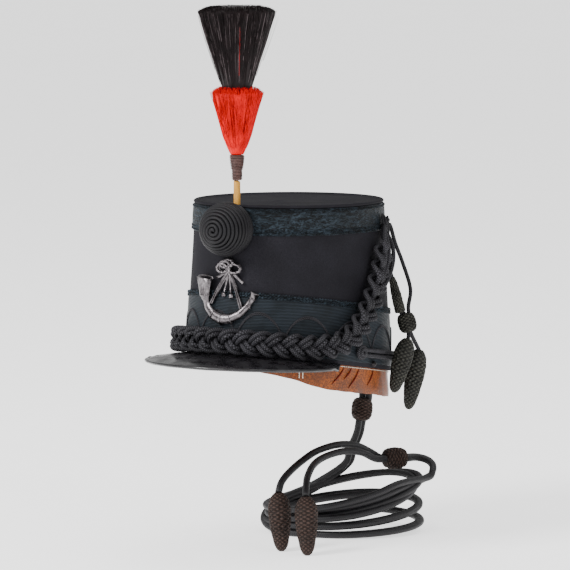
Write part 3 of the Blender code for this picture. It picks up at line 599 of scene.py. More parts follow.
def winding_tree(winding: Winding) -> bpy.types.NodeTree:
    """Builds the tree that lays strands or beads along lines, made once.

    Args:
        winding: what it lays.

    Returns:
        The tree.
    """
    if winding.value in bpy.data.node_groups:
        return bpy.data.node_groups[winding.value]
    tree = bpy.data.node_groups.new(winding.value, "GeometryNodeTree")
    tree.interface.new_socket("Lines", in_out="INPUT", socket_type="NodeSocketGeometry")
    for label in ("Width", "Length", "Spacing", "Lean"):
        tree.interface.new_socket(label, in_out="INPUT", socket_type="NodeSocketFloat")
    tree.interface.new_socket("Finish", in_out="INPUT", socket_type="NodeSocketMaterial")
    tree.interface.new_socket("Pieces", in_out="OUTPUT", socket_type="NodeSocketGeometry")
    sizes = add(tree, "NodeGroupInput").outputs
    lines = add(tree, "GeometryNodeMeshToCurve", Mesh=sizes["Lines"]).outputs["Curve"]
    if winding is Winding.STRANDS:
        ring = add(tree, "GeometryNodeCurvePrimitiveCircle", Resolution=3, Radius=sizes["Width"])
        taper = add(tree, "GeometryNodeInputNamedAttribute", {"data_type": "FLOAT"}, Name="taper")
        laid = add(tree, "GeometryNodeCurveToMesh", Curve=lines, Profile_Curve=ring.outputs["Curve"],
                   Scale=taper.outputs["Attribute"], Fill_Caps=True).outputs["Mesh"]
    else:
        spots = add(tree, "GeometryNodeCurveToPoints", {"mode": "LENGTH"}, Curve=lines,
                    Length=sizes["Spacing"])
        lean = add(tree, "ShaderNodeCombineXYZ", Z=sizes["Lean"])
        way = add(tree, "ShaderNodeVectorMath", {"operation": "ADD"}, i0=spots.outputs["Tangent"],
                  i1=lean.outputs[0])
        turn = add(tree, "FunctionNodeAlignRotationToVector", {"axis": "Z"}, Vector=way.outputs[0])
        size = add(tree, "ShaderNodeCombineXYZ", X=sizes["Width"], Y=sizes["Width"], Z=sizes["Length"])
        bead = add(tree, "GeometryNodeMeshUVSphere", Segments=8, Rings=6, Radius=1.0)
        laid = add(tree, "GeometryNodeInstanceOnPoints", Points=spots.outputs["Points"],
                   Instance=bead.outputs["Mesh"], Rotation=turn.outputs[0], Scale=size.outputs[0]).outputs[0]
    smooth = add(tree, "GeometryNodeSetShadeSmooth", Geometry=laid)
    real = add(tree, "GeometryNodeRealizeInstances", Geometry=smooth.outputs[0])
    coat = add(tree, "GeometryNodeSetMaterial", Geometry=real.outputs[0], Material=sizes["Finish"])
    add(tree, "NodeGroupOutput", Pieces=coat.outputs[0])
    return tree


def wind(name: str, winding: Winding, paths: Sequence[Sequence[Vector]], finish: Finish,
         sizes: dict[str, float], taper: float = 1.0, closed: bool = False) -> bpy.types.Object:
    """Lays strands or beads along paths.

    Args:
        name: the piece's name.
        winding: what is laid.
        paths: the paths, in millimetres.
        finish: the finish.
        sizes: the tree's sizes by their names, in millimetres but for Lean.
        taper: the share of the width that a strand keeps at its tip.
        closed: whether each path closes on itself.

    Returns:
        The piece, a plain mesh.
    """
    points, edges, tapers = [], [], []
    for path in paths:
        first = len(points)
        points.extend(point * MM for point in path)
        edges.extend((first + at, first + at + 1) for at in range(len(path) - 1))
        if closed:
            edges.append((first + len(path) - 1, first))
        tapers.extend(1 + (taper - 1) * at / (len(path) - 1) for at in range(len(path)))
    mesh = bpy.data.meshes.new(name)
    mesh.from_pydata(points, edges, [])
    mesh.attributes.new("taper", "FLOAT", "POINT").data.foreach_set("value", tapers)
    piece = placed(name, mesh)
    laid = piece.modifiers.new("laid", "NODES")
    laid.node_group = winding_tree(winding)
    for item in laid.node_group.interface.items_tree:
        if item.in_out == "INPUT" and item.name in sizes:
            laid[item.identifier] = sizes[item.name] * (1.0 if item.name == "Lean" else MM)
        if item.name == "Finish":
            laid[item.identifier] = finish.material()
    settle(piece, laid)
    return dress(piece, finish)


# The hat

@dataclass
class CrownShape:
    """The crown's tapered oval, as the CAD has it, in millimetres and degrees from the front."""

    rim_long: float = 100.5
    rim_wide: float = 80.0
    top_long: float = 88.5
    top_wide: float = 74.5
    high: float = 135.5
    top_fall: float = 0.016
    rim_fall: float = 0.16
    wall: float = 2.5

    def halves(self, height: float) -> tuple[float, float]:
        """Gives half the crown's width and half its length at a height.

        Args:
            height: the height.

        Returns:
            Both halves.
        """
        share = height / self.high
        return (self.rim_wide + (self.top_wide - self.rim_wide) * share,
                self.rim_long + (self.top_long - self.rim_long) * share)

    def point(self, angle: float, height: float, off: float = 0.0) -> Vector:
        """Gives a point off the crown's side.

        Args:
            angle: the point's angle.
            height: its height.
            off: how far it is from the side.

        Returns:
            The point.
        """
        wide, long = self.halves(height)
        turn = math.radians(angle)
        return Vector(((wide + off) * math.sin(turn), -(long + off) * math.cos(turn), height))

    def facing(self, point: Vector) -> Vector:
        """Gives the direction straight off the crown's side.

        Args:
            point: a point on or near the side.

        Returns:
            The direction there.
        """
        wide, long = self.halves(point.z)
        up = point.x**2 * (self.rim_wide - self.top_wide) / wide**3
        up += point.y**2 * (self.rim_long - self.top_long) / long**3
        return Vector((point.x / wide**2, point.y / long**2, up / self.high)).normalized()

    def across(self, point: Vector) -> Vector:
        """Gives the level direction along the crown's side at a point."""
        return Vector((0, 0, 1)).cross(self.facing(point)).normalized()

    def cut(self, angle: float, middle: float, fall: float) -> float:
        """Gives the height at which a sloping plane meets the side.

        Args:
            angle: the angle at which it is asked.
            middle: the plane's height in the middle.
            fall: how much it falls to the back, per millimetre.

        Returns:
            The height.
        """
        forward = fall * math.cos(math.radians(angle))
        taper = forward * (self.top_long - self.rim_long) / self.high
        return (middle + forward * self.rim_long) / (1 - taper)

    def rim(self, angle: float) -> float:
        """Gives the rim's height."""
        return self.cut(angle, 0, self.rim_fall)

    def top(self, angle: float) -> float:
        """Gives the top's height."""
        return self.cut(angle, self.high, self.top_fall)

    def above_rim(self, angle: float, rise: float, off: float = 0.0) -> Vector:
        """Gives a point off the side, some way above the rim."""
        return self.point(angle, self.rim(angle) + rise, off)


@dataclass
class Crown:
    """The felt body with its cloth, lace and sweatband, in millimetres and degrees from the front."""

    shape: CrownShape
    steps: int = 220
    side_rows: int = 18
    # The top's section, from the welt inwards: how far off the side and how far over the top's plane.
    welt: Profile = ((-0.6, 0.0), (0.7, 0.1), (1.3, 0.9), (1.1, 1.8), (0.2, 2.4), (-1.2, 2.3), (-2.4, 1.6),
                     (-4.5, 1.1), (-12, 0.9), (-30, 0.7), (-55, 0.6), (-72, 0.6))
    upper_deep: float = 22.0
    upper_down: float = 0.5
    lower_deep: float = 49.0
    lower_up: float = 3.5
    lace_rows: int = 36
    leaf_count: int = 36
    arches: int = 13
    arch_foot: float = 12.0
    arch_high: float = 25.0
    arch_shift: float = 6.0
    arch_cord: float = 0.6
    # Each crease runs from one angle to another and drops by its third number.
    creases: Route = ((71, 62, 17), (82, 73, 19), (76, 70, 12), (95, 88, 15))
    seam_angles: tuple[float, float] = (43, 45)
    stitch_start: float = 36.0
    stitch_step: float = 0.8
    stitch_count: int = 270

    def angles(self) -> list[float]:
        """Gives the angles of the rings."""
        return [360 * step / self.steps for step in range(self.steps)]

    def level(self, rise: float, off: float, top: bool = False) -> list[Vector]:
        """Gives a ring of points off the crown.

        Args:
            rise: its height over the rim, or its depth under the top.
            off: how far it is from the side.
            top: whether it is measured from the top.

        Returns:
            The ring.
        """
        shape = self.shape
        return [shape.point(angle, shape.top(angle) - rise if top else shape.rim(angle) + rise, off)
                for angle in self.angles()]

    def mixed(self, angle: float, share: float, off: float) -> Vector:
        """Gives a point between the rim and the top."""
        height = self.shape.rim(angle) * (1 - share) + self.shape.top(angle) * share
        return self.shape.point(angle, height, off)

    def unevenness(self, angle: float, share: float) -> float:
        """Gives the slight dents of old felt, none at the edges.

        Args:
            angle: the angle.
            share: the share of the height.

        Returns:
            How far the felt stands out.
        """
        turn = math.radians(angle)
        waves = 0.35 * math.sin(3 * turn + 5 * share) * math.sin(7 * turn - 3 * share)
        return waves * math.sin(math.pi * share)

    def ripple(self, angle: float, off: float) -> float:
        """Gives the loose cloth's ripple on the top."""
        return 0.25 * math.sin(math.radians(angle) * 4 + off * 0.15) * min(1.0, max(0.0, -off / 12))

    def cloth(self) -> None:
        """Makes the side and the top, which dips inside a rolled edge."""
        shape, angles = self.shape, self.angles()
        rows = []
        for share in (at / self.side_rows for at in range(self.side_rows + 1)):
            rows.append([self.mixed(angle, share, self.unevenness(angle, share)) for angle in angles])
        for share in (1.0, 0.5, 0.0):
            rows.append([self.mixed(angle, share, -shape.wall) for angle in angles])
        side = Mesher()
        side.sheet(rows, over=True)
        side.finish("crown_cloth", WOOL, "crown_side")
        rows = [[shape.point(angle, shape.top(angle) + up + self.ripple(angle, off), off) for angle in angles]
                for off, up in self.welt]
        top = Mesher()
        top.sheet(rows)
        middle = Vector((0, 0, shape.high + self.welt[-1][1]))
        top.cap((len(rows) - 1) * self.steps, self.steps, middle, False)
        top.finish("crown_top_cloth", WOOL, "crown_top")

    def band(self, name: str, node: str, finish: Finish, deep: float, rise: float, top: bool,
             relief: Relief) -> None:
        """Makes a band of lace with relief.

        Args:
            name: the piece's name.
            node: the node that it replaces.
            finish: its finish.
            deep: its depth.
            rise: how far its first edge is from the rim or the top.
            top: whether it hangs from the top.
            relief: what is added to its thickness, from the share of its depth and the angle.
        """
        rows = []
        for share in (at / self.lace_rows for at in range(self.lace_rows + 1)):
            # The lace thins to three tenths of its thickness at its two edges.
            edge = min(1.0, 6 * share + 0.3, 6 * (1 - share) + 0.3)
            rows.append([point + self.shape.facing(point) * (relief(share, angle) - 1 + edge) for angle, point
                         in zip(self.angles(), self.level(rise + deep * share, GAP + LACE, top))])
        rows.append(self.level(rise + deep, GAP, top))
        rows.append(self.level(rise, GAP, top))
        made = Mesher()
        made.sheet(rows, over=True)
        made.finish(name, finish, node)

    def lace(self) -> None:
        """Makes both bands and their beaded edges."""
        def leaves(share: float, angle: float) -> float:
            """Gives the relief of the slanting leaves of the upper band."""
            row = abs(math.sin(math.radians(angle) * self.leaf_count + 2.2 * math.sin(share * math.tau)))
            return 0.3 * row * math.sin(math.pi * min(1.0, share * 1.2))

        def swell(share: float, angle: float) -> float:
            """Gives the lower band's slight swelling under each arch."""
            return 0.15 * math.sin(math.radians(angle) * self.arches) ** 2 * share

        self.band("oak_leaf_lace", "upper_band", OAK_LACE, self.upper_deep, self.upper_down, True, leaves)
        self.band("ribbed_lace", "lower_band", RIB_LACE, self.lower_deep, self.lower_up, False, swell)
        upper = [self.level(down, 1.5, True) for down in (2.4, 18.6, 21.0)]
        wind("upper_lace_edges", Winding.BEADS, upper, OAK_LACE,
             {"Width": 0.55, "Length": 1.1, "Spacing": 2.0, "Lean": 0.7}, closed=True)
        high = self.lower_deep + self.lower_up
        lower = [self.level(high - down, off) for down, off in ((0.6, 1.6), (3.0, 1.5))]
        wind("lower_lace_edge", Winding.BEADS, lower, OAK_LACE,
             {"Width": 0.9, "Length": 1.7, "Spacing": 2.7, "Lean": 0.9}, closed=True)

    def arcade(self) -> None:
        """Makes the doubled arches of thin cord on the lower band."""
        made = Mesher()
        half = 180 / self.arches
        for arch in range(self.arches):
            middle = 360 * (arch + 0.5) / self.arches + self.arch_shift
            for inset in (0.0, 1.3):
                high = self.arch_high - inset
                path = [self.shape.above_rim(middle - half * math.cos(turn),
                                             self.arch_foot + high * math.sin(turn) ** 1.3, 1.6)
                        for turn in half_circle(24)]
                made.tube(through(path, 1.6), self.arch_cord, 6)
        made.finish("lace_arches", BRAID)

    def sweatband(self) -> None:
        """Creases the leather and adds its stitches, creases and seam, all on its outer face."""
        def crumple(point: Vector) -> float:
            """Gives the leather's slanting wrinkles.

            Args:
                point: a place on the leather, in millimetres.

            Returns:
                How far the leather stands out there.
            """
            turn = math.atan2(point.x, -point.y)
            slant = math.sin(turn * 23 + point.z * 0.22) * math.sin(turn * 9 - point.z * 0.1)
            return 0.25 * slant + 0.08 * math.sin(turn * 41 + point.z * 0.5)

        def pinch(share: float, around: float) -> float:
            """Gives a crease's radius, thin at both ends."""
            return 0.15 + 0.55 * math.sin(math.pi * share)

        over = self.shape.above_rim
        refined("sweatband", "sweatband_leather", SHEEPSKIN, 3, crumple)
        line = [over(self.stitch_start + at * self.stitch_step, -1.2, -2.3)
                for at in range(self.stitch_count)]
        wind("sweatband_stitches", Winding.BEADS, [line], LINEN,
             {"Width": 0.35, "Length": 1.2, "Spacing": 2.6, "Lean": 0.0})
        marks = Mesher()
        for high, low, drop in self.creases:
            path = [over(high, -1, -2.7), over((high + low) / 2 + 1, -drop * 0.5, -2.7),
                    over(low, -drop, -2.7)]
            marks.tube(through(path, 1.2), pinch, 6)
        marks.finish("sweatband_creases", CREASE)
        seam = Mesher()
        for angle in self.seam_angles:
            seam.tube(through([over(angle, -drop, -2.6) for drop in (0.5, 5, 9.5, 14)], 1.2), 0.45, 6)
        seam.finish("sweatband_seam", LINEN)

    def make(self) -> None:
        """Makes the whole crown."""
        self.cloth()
        self.lace()
        self.arcade()
        self.sweatband()


@dataclass
class Peak:
    """The patent leather peak with its bound edge and studs, in millimetres."""

    edge_radius: float = 1.25
    stitch_inset: float = 3.4
    stitch_lift: float = 1.1
    sector: float = 2.0

    def edge(self, leather: bpy.types.Object) -> list[Vector]:
        """Finds the peak's outer edge: in each slice of the round, the vertex farthest out.

        Args:
            leather: the peak's leather.

        Returns:
            The edge's smooth line.
        """
        reach: dict[int, Vector] = {}
        for vertex in leather.data.vertices:
            place = vertex.co / MM
            number = round(math.degrees(math.atan2(place.x, -place.y)) / self.sector)
            far = place.x**2 + place.y**2
            if number not in reach or far > reach[number].x**2 + reach[number].y**2:
                reach[number] = place
        return through([reach[number] for number in sorted(reach)][1:-1], 1.6)

    def make(self) -> None:
        """Makes the peak, its binding, its stitches and its studs."""
        def warp(point: Vector) -> float:
            """Gives the slight waves of old leather."""
            return 0.15 * math.sin(point.x * 0.16) * math.sin(point.y * 0.11)

        edge = self.edge(refined("peak", "peak_leather", PATENT, 2, warp))
        binding = Mesher()
        binding.tube(edge, self.edge_radius, 10)
        binding.finish("peak_binding", PATENT)
        inner = [point * (1 - self.stitch_inset / math.hypot(point.x, point.y))
                 + Vector((0, 0, self.stitch_lift)) for point in edge[4:-4]]
        wind("peak_stitches", Winding.BEADS, [inner], FINE_BRAID,
             {"Width": 0.3, "Length": 0.8, "Spacing": 2.6, "Lean": 0.0})
        for side in ("left", "right"):
            refined(f"peak_stud_{side}", f"stud_{side}", BLACKENED, 2)


@dataclass
class Boss:
    """The ball wound from one cord, in millimetres; reach is how far round it the cord goes, in degrees."""

    shape: CrownShape
    radius: float = 22.5
    cord: float = 3.3
    reach: float = 122.0
    steps_per_turn: int = 44
    core_sides: int = 40
    core_rows: int = 21

    def seated(self, point: Vector, lift: float) -> Vector:
        """Brings a point forward where it would sink into the lace.

        Args:
            point: the point.
            lift: how far off the lace it stays.

        Returns:
            The point, moved or not.
        """
        wide, long = self.shape.halves(point.z)
        back = -(long + GAP + LACE) * math.sqrt(max(0.0, 1 - (point.x / wide) ** 2)) - lift
        return Vector((point.x, min(point.y, back), point.z))

    def around(self, middle: Vector, radius: float, tilt: float, turn: float, lift: float) -> Vector:
        """Gives a point on a ball that sits on the lace.

        Args:
            middle: the ball's middle.
            radius: its radius.
            tilt: the point's angle from the front, in radians.
            turn: its turn round the front, in radians.
            lift: how far off the lace it stays.

        Returns:
            The point.
        """
        out = Vector((math.sin(tilt) * math.cos(turn), -math.cos(tilt), math.sin(tilt) * math.sin(turn)))
        return self.seated(middle + out * radius, lift)

    def make(self) -> None:
        """Makes the core and winds the cord from its middle outwards."""
        low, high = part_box("boss")
        middle = Vector((0, low[1] / MM + self.radius, (low[2] + high[2]) / 2 / MM))
        inner = self.radius - self.cord / 2
        turns = math.radians(self.reach) * inner / self.cord
        count = int(turns * self.steps_per_turn)
        path = []
        for share in (at / count for at in range(count + 1)):
            # The spiral starts a little off the middle, because a cord can't be bent to a point.
            tilt = math.radians(self.reach) * (share * 0.985 + 0.015)
            path.append(self.around(middle, inner, tilt, math.tau * turns * share, self.cord * 0.4))
        made = Mesher()
        made.tube(path, self.cord * 0.465, 10)
        first, sides, rows = len(made.points), self.core_sides, self.core_rows
        made.sheet([[self.around(middle, inner - 1.5, tilt, turn, 0.2) for turn in circle(sides)]
                    for tilt in (math.radians(3 + 6 * row) for row in range(rows))])
        made.cap(first, sides, middle - Vector((0, inner - 0.5, 0)), True)
        made.cap(first + (rows - 1) * sides, sides, self.seated(middle + Vector((0, inner, 0)), 0.2), False)
        made.finish("boss_winding", WOUND, "boss")


@dataclass
class Badge:
    """The cast horn badge with its raised details, in millimetres across and up on the badge."""

    shape: CrownShape
    low: float = 41.0
    # The horn's middle line from bell to mouthpiece, with its half width, and the points that carry a ring.
    horn: Route = ((-22.4, 37.5, 8.2), (-23, 30, 6.4), (-23, 23, 5.2), (-22.2, 18.4, 3), (-19.4, 13.4, 3.4),
                   (-13.2, 7.8, 3.9), (-4.8, 4.4, 4.2), (3.8, 5.3, 3.8), (11.4, 9.6, 3.2), (17.4, 16.2, 2.6),
                   (21.1, 22.4, 2.2), (22.7, 25.6, 3.1), (23.3, 27, 4))
    rings: tuple[int, ...] = (2, 5, 6, 7, 9, 10)
    straps: tuple[Profile, ...] = (((0, 44), (-7.6, 32), (-15.6, 16.5)), ((0, 44), (6.8, 31), (13, 13)))
    # The bow's loops: middle, half width and half height.
    loops: tuple[tuple[float, float, float, float], ...] = ((-5.6, 46.2, 4.8, 3.6), (5.6, 46.2, 4.8, 3.6),
                                                            (0, 50.6, 4, 3), (-3.4, 49.4, 4.2, 2.6))
    flare: tuple[float, float, float, float] = (-22.4, 37.6, 8.6, 1.5)
    # The bell's flutes: heights and half widths along them.
    flutes: Profile = ((35, 7.4), (31, 6.5), (27, 5.8), (23.5, 5.2))

    def place(self, across: float, up: float, out: float) -> Vector:
        """Gives a point off the crown's front.

        Args:
            across: how far it is across the badge.
            up: how far up it.
            out: how far off the badge's back.

        Returns:
            The point.
        """
        height = self.low + up
        angle = math.degrees(across / self.shape.point(90, height).x)
        return self.shape.point(angle, height, LACE + GAP + 0.4 + out)

    def ring(self, number: int) -> list[Vector]:
        """Gives the half ring over the horn at one of its points.

        Args:
            number: the point's number.

        Returns:
            The half ring's line.
        """
        across, up, half = self.horn[number]
        before, after = self.horn[number - 1], self.horn[number + 1]
        way = Vector((after[0] - before[0], after[1] - before[1])).normalized()
        return [self.place(across - way.y * (half + 0.3) * math.cos(turn),
                           up + way.x * (half + 0.3) * math.cos(turn), 0.6 + half * 0.95 * math.sin(turn))
                for turn in half_circle(16)]

    def oval(self, sizes: tuple[float, float, float, float], out: float, count: int) -> list[Vector]:
        """Gives an oval on the badge.

        Args:
            sizes: its middle, half width and half height.
            out: how far it is off the badge's back.
            count: the number of its points.

        Returns:
            The oval's line.
        """
        across, up, wide, high = sizes
        return [self.place(across + wide * math.cos(turn), up + high * math.sin(turn), out)
                for turn in circle(count)]

    def make(self) -> None:
        """Smooths the casting and lays rings, straps, a roped bow and flutes on it."""
        def rope(share: float, around: float) -> float:
            """Gives the radius of a rope with two twisted strands."""
            return 1.15 + 0.25 * math.cos(math.tau * (2 * around + 9 * share))

        refined("bugle_badge", "badge_casting", CASTING, 0, sharp=50)
        made = Mesher()
        for number in self.rings:
            made.tube(self.ring(number), 0.65, 6)
        for strap in self.straps:
            for shift in (-1.0, 1.0):
                line = through([Vector((across + shift * (0.3 + 0.7 * at / 2), up, 2.3))
                                for at, (across, up) in enumerate(strap)], 1.2)
                made.tube([self.place(*point) for point in line], 0.6, 6)
        for loop in self.loops:
            made.tube(self.oval(loop, 2.6, 48), rope, 12, closed=True)
        made.tube(self.oval(self.flare, 3.2, 40), 0.8, 8, closed=True)
        for flute in range(-3, 4):
            path = [self.place(-22.7 + flute * half / 3.6, up,
                               0.6 + half * math.sqrt(max(0.05, 1 - (flute / 3.8)**2)))
                    for up, half in self.flutes]
            made.tube(through(path, 1.0), 0.4, 6)
        made.finish("badge_details", CASTING)


@dataclass(frozen=True)
class Tuft:
    """A horsehair tuft's height and largest radius in millimetres, and its outline in shares of them."""

    high: float
    radius: float
    shares: Profile


@dataclass(frozen=True)
class Hairs:
    """One lot of hairs on a tuft, which spread makes wider.

    Lowest and longest are the shares of the height between which the hairs lie. Width is in millimetres, and
    taper is the share of it that is left at the tip.
    """

    name: str
    count: int
    tuft: Tuft
    spread: float
    lowest: float
    longest: float
    finish: Finish
    width: float
    taper: float


RED_TUFT = Tuft(50.0, 20.9, ((0, .26), (.16, .43), (.32, .565), (.56, .71), (.8, .86), (1, 1)))
BLACK_TUFT = Tuft(117.0, 31.2, ((0, .10), (.26, .24), (.44, .35), (.62, .57), (.81, .80), (1, 1)))


@dataclass
class Plume:
    """The horsehair plume on its cane stem, in millimetres."""

    shape: CrownShape
    inset: float = 5.8
    foot: float = 180.4
    ferrule_radius: float = 6.0
    ferrule_shares: Profile = ((0, .65), (.38, .65), (.43, .77), (1, 1))
    thread_turns: int = 15
    thread_steps: int = 519
    thread_high: float = 19.4
    points: int = 7
    seed: int = 7
    # The random draws follow this order.
    lots: tuple[Hairs, ...] = (
        Hairs("red_hairs", 1900, RED_TUFT, 1.0, 0.0, 1.01, RED_HORSEHAIR, 0.3, 0.5),
        Hairs("black_hairs", 3300, BLACK_TUFT, 1.0, 0.40, 1.0, BLACK_HORSEHAIR, 0.3, 0.6),
        # The pale grey hairs are painted highlights on the black tuft, and the dark red ones are painted shade
        # on the red tuft.
        Hairs("black_hairs_painted_highlight", 420, BLACK_TUFT, 1.004, 0.42, 0.99, HIGHLIGHT_PAINTED_HAIR, 0.2, 0.5),
        Hairs("shaded_red_hairs", 300, RED_TUFT, 1.004, 0.0, 1.0, SHADED_RED, 0.22, 0.5),
        Hairs("loose_black_hairs", 34, BLACK_TUFT, 1.13, 0.42, 0.97, BLACK_HORSEHAIR, 0.22, 0.3),
        Hairs("stray_red_hairs", 6, BLACK_TUFT, 1.04, 0.45, 0.9, RED_HORSEHAIR, 0.1, 0.3))

    def hairs(self, lot: Hairs, draw: random.Random) -> list[list[Vector]]:
        """Lays a lot of hairs along its tuft.

        Args:
            lot: the lot.
            draw: the source of random numbers.

        Returns:
            The hairs' paths.
        """
        middle = Vector((0, self.shape.point(0, self.shape.high, -self.inset).y, self.foot))
        radius = lot.tuft.radius * lot.spread
        paths = []
        for _ in range(lot.count):
            # More hairs lie near the outside, where they show.
            inside = draw.random() ** 0.35
            begin = lot.lowest + (1 - lot.lowest) * draw.random() * 0.75
            end = min(lot.longest, begin + 0.35 + 0.5 * draw.random()) - 0.012 * draw.random()
            end = max(end, begin + 0.12)
            turn = draw.random() * math.tau
            sway, lift = draw.gauss(0, 0.07), draw.gauss(0.0, 0.022)
            path = []
            for at in range(self.points + 1):
                share = begin + (end - begin) * at / self.points
                width = outline(lot.tuft.shares, min(share, 1.0)) * radius
                out = width * (0.25 + 0.77 * inside + lift * at / self.points)
                bend = turn + sway * at / self.points
                # The tuft's middle rises to a low dome over its last tenth.
                dome = 5.0 * max(0.0, share - 0.9) * 10 * (1 - inside**4)
                path.append(middle + Vector((out * math.sin(bend), -out * math.cos(bend),
                                             lot.tuft.high * share + dome)))
            paths.append(path)
        return paths

    def thread(self) -> list[Vector]:
        """Gives the thread wound round the ferrule.

        Returns:
            The thread's middle line.
        """
        low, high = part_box("plume_ferrule")
        middle = Vector(((low[0] + high[0]) / 2 / MM, (low[1] + high[1]) / 2 / MM, low[2] / MM))
        path = []
        for share in (step / self.thread_steps for step in range(self.thread_steps + 1)):
            turn = math.tau * self.thread_turns * share
            out = self.ferrule_radius * outline(self.ferrule_shares, share) + 0.1
            path.append(middle + Vector((out * math.cos(turn), out * math.sin(turn),
                                         1 + self.thread_high * share)))
        return path

    def make(self) -> None:
        """Makes stem, ferrule, locks and hairs."""
        draw = random.Random(self.seed)
        refined("plume_stem", "plume_cane", CANE, 1)
        refined("plume_ferrule", "ferrule_core", FERRULE_THREAD, 1)
        wind("ferrule_thread", Winding.STRANDS, [self.thread()], FERRULE_THREAD, {"Width": 0.6})
        refined("plume_red", "red_locks", RED_HORSEHAIR, 1, sharp=60)
        refined("plume_black", "black_locks", BLACK_HORSEHAIR, 1, sharp=60)
        for lot in self.lots:
            wind(lot.name, Winding.STRANDS, self.hairs(lot, draw), lot.finish, {"Width": lot.width},
                 taper=lot.taper)


@dataclass
class Plait:
    """The plaited line, the side knots and the rim cords, in millimetres and degrees from the front."""

    shape: CrownShape
    half_width: float = 7.2
    half_depth: float = 4.2
    pitch: float = 40.0
    step: float = 1.4
    off: float = 8.7
    pair: float = 1.85
    cord: float = 1.95
    rise: float = 12.6
    # How the plait climbs at its ends: angles and shares of the way from the peak to the knot.
    right: Profile = ((-113, 1), (-110, .82), (-106.5, .63), (-102.5, .44), (-98, .27), (-92, .13),
                      (-84, .04))
    left: Profile = ((61, .05), (70, .14), (78, .31), (85, .5), (90, .67), (94.5, .83), (98.5, 1))
    knots: tuple[tuple[str, float], ...] = (("right", -118.0), ("left", 108.0))
    knot_high: float = 116.0
    ring: float = 4.0
    swell: float = 2.0
    stretch: float = 1.5
    knot_cord: float = 1.25
    # The cord ends between plait and knot: angles, heights and distances off the side.
    end_loops: tuple[Route, ...] = (
        ((107, 113, 4), (102, 106, 9), (98, 95, 13), (94, 82, 13), (89, 71, 12)),
        ((109, 112, 5), (105, 98, 12), (100, 84, 14), (93, 70, 13), (86, 62, 11)),
        ((106, 118, 5), (100, 112, 8), (96, 103, 11), (95, 92, 12), (91, 77, 12)),
        ((-117, 112, 4), (-114, 106, 8), (-110, 98, 10), (-105, 86, 12)),
        ((-119, 111, 5), (-116, 102, 10), (-111, 91, 12), (-105, 78, 11)))
    loop_cord: float = 1.7
    rosettes: tuple[float, float] = (79, 258)
    rosette_rise: float = 12.2
    # The rim cords: where they begin, how far they go, and each one's node and rise over the rim.
    rim_start: float = 80.0
    rim_sweep: float = 177.0
    rim_cords: tuple[tuple[str, float], ...] = (("rim_cord_lower", 10.0), ("rim_cord_upper", 14.4))

    def middle(self) -> list[Vector]:
        """Gives the plait's middle line.

        Returns:
            The line.
        """
        end = self.knot_high - self.stretch * (self.ring + self.swell) - 4.8
        places = [*self.right, *((angle, 0.0) for angle in range(-72, 49, 12)), *self.left]
        points = []
        for angle, share in places:
            low = self.shape.rim(angle) + self.rise
            points.append(self.shape.point(angle, low + (end - low) * share, self.off))
        return through(points, self.step)

    def strand(self, line: Sequence[Vector], number: int) -> list[Vector]:
        """Gives the path of one of the three strands, which passes over and under the others.

        Args:
            line: the plait's middle line.
            number: the strand's number, from 0.

        Returns:
            The strand's middle line.
        """
        path = []
        for at, point in enumerate(line):
            along = heading(line, at)
            across = along.cross(self.shape.facing(point)).normalized()
            out = across.cross(along)
            turn = math.tau * (at * self.step / self.pitch + number / 3)
            path.append(point + across * self.half_width * math.sin(turn)
                        + out * self.half_depth * math.sin(2 * turn))
        return path

    def strands(self) -> None:
        """Makes each strand as two cords side by side."""
        line = self.middle()
        for number in range(3):
            path = self.strand(line, number)
            sides = [heading(path, at).cross(self.shape.facing(line[at])).normalized()
                     for at in range(len(path))]
            made = Mesher()
            for shift in (-self.pair, self.pair):
                made.tube([point + side * shift for point, side in zip(path, sides)], self.cord, 10)
            made.finish(f"plait_cords_{number + 1}", BRAID, f"plait_strand_{number + 1}")

    def knot(self, angle: float, grow: float = 1.0, turned: float = 0.0) -> list[Vector]:
        """Gives a knot's closed line.

        Args:
            angle: where the knot sits.
            grow: how much wider than the usual knot it is.
            turned: how far its pattern is turned, in radians.

        Returns:
            The line.
        """
        middle = self.shape.point(angle, self.knot_high, 2 * GAP + LACE + self.swell + self.knot_cord)
        away, across = self.shape.facing(middle), self.shape.across(middle)
        points = []
        for turn in circle(72):
            ring = (self.ring + self.swell * math.cos(3 * turn + turned)) * grow
            high = self.stretch * ring * math.sin(2 * turn + turned)
            points.append(middle + across * ring * math.cos(2 * turn + turned)
                          + away * self.swell * math.sin(3 * turn) + Vector((0, 0, high)))
        return points

    def rim(self) -> None:
        """Makes the cords round the back of the rim, with a rosette over each pair of ends."""
        def twist(share: float, around: float) -> float:
            """Gives the radius of a cord with two twisted strands."""
            return 1.85 + 0.2 * math.cos(math.tau * (2 * around + 60 * share))

        rosette = Mesher()
        for angle in self.rosettes:
            middle = self.shape.above_rim(angle, self.rosette_rise, 4.5)
            away, across = self.shape.facing(middle), self.shape.across(middle)
            for ring, lift in ((4.6, 0.0), (2.4, 1.4)):
                path = [middle + away * lift
                        + (across * math.cos(turn) + Vector((0, 0, math.sin(turn)))) * ring
                        for turn in circle(28)]
                rosette.tube(path, self.loop_cord, 10, closed=True)
        rosette.finish("rim_cord_rosettes", BRAID)
        for node, rise in self.rim_cords:
            points = [self.shape.above_rim(self.rim_start + self.rim_sweep * at / 40, rise,
                                           GAP + LACE + GAP + 2.0) for at in range(41)]
            made = Mesher()
            made.tube(through(points, self.step), twist, 12)
            made.finish(f"{node}_braid", BRAID, node)

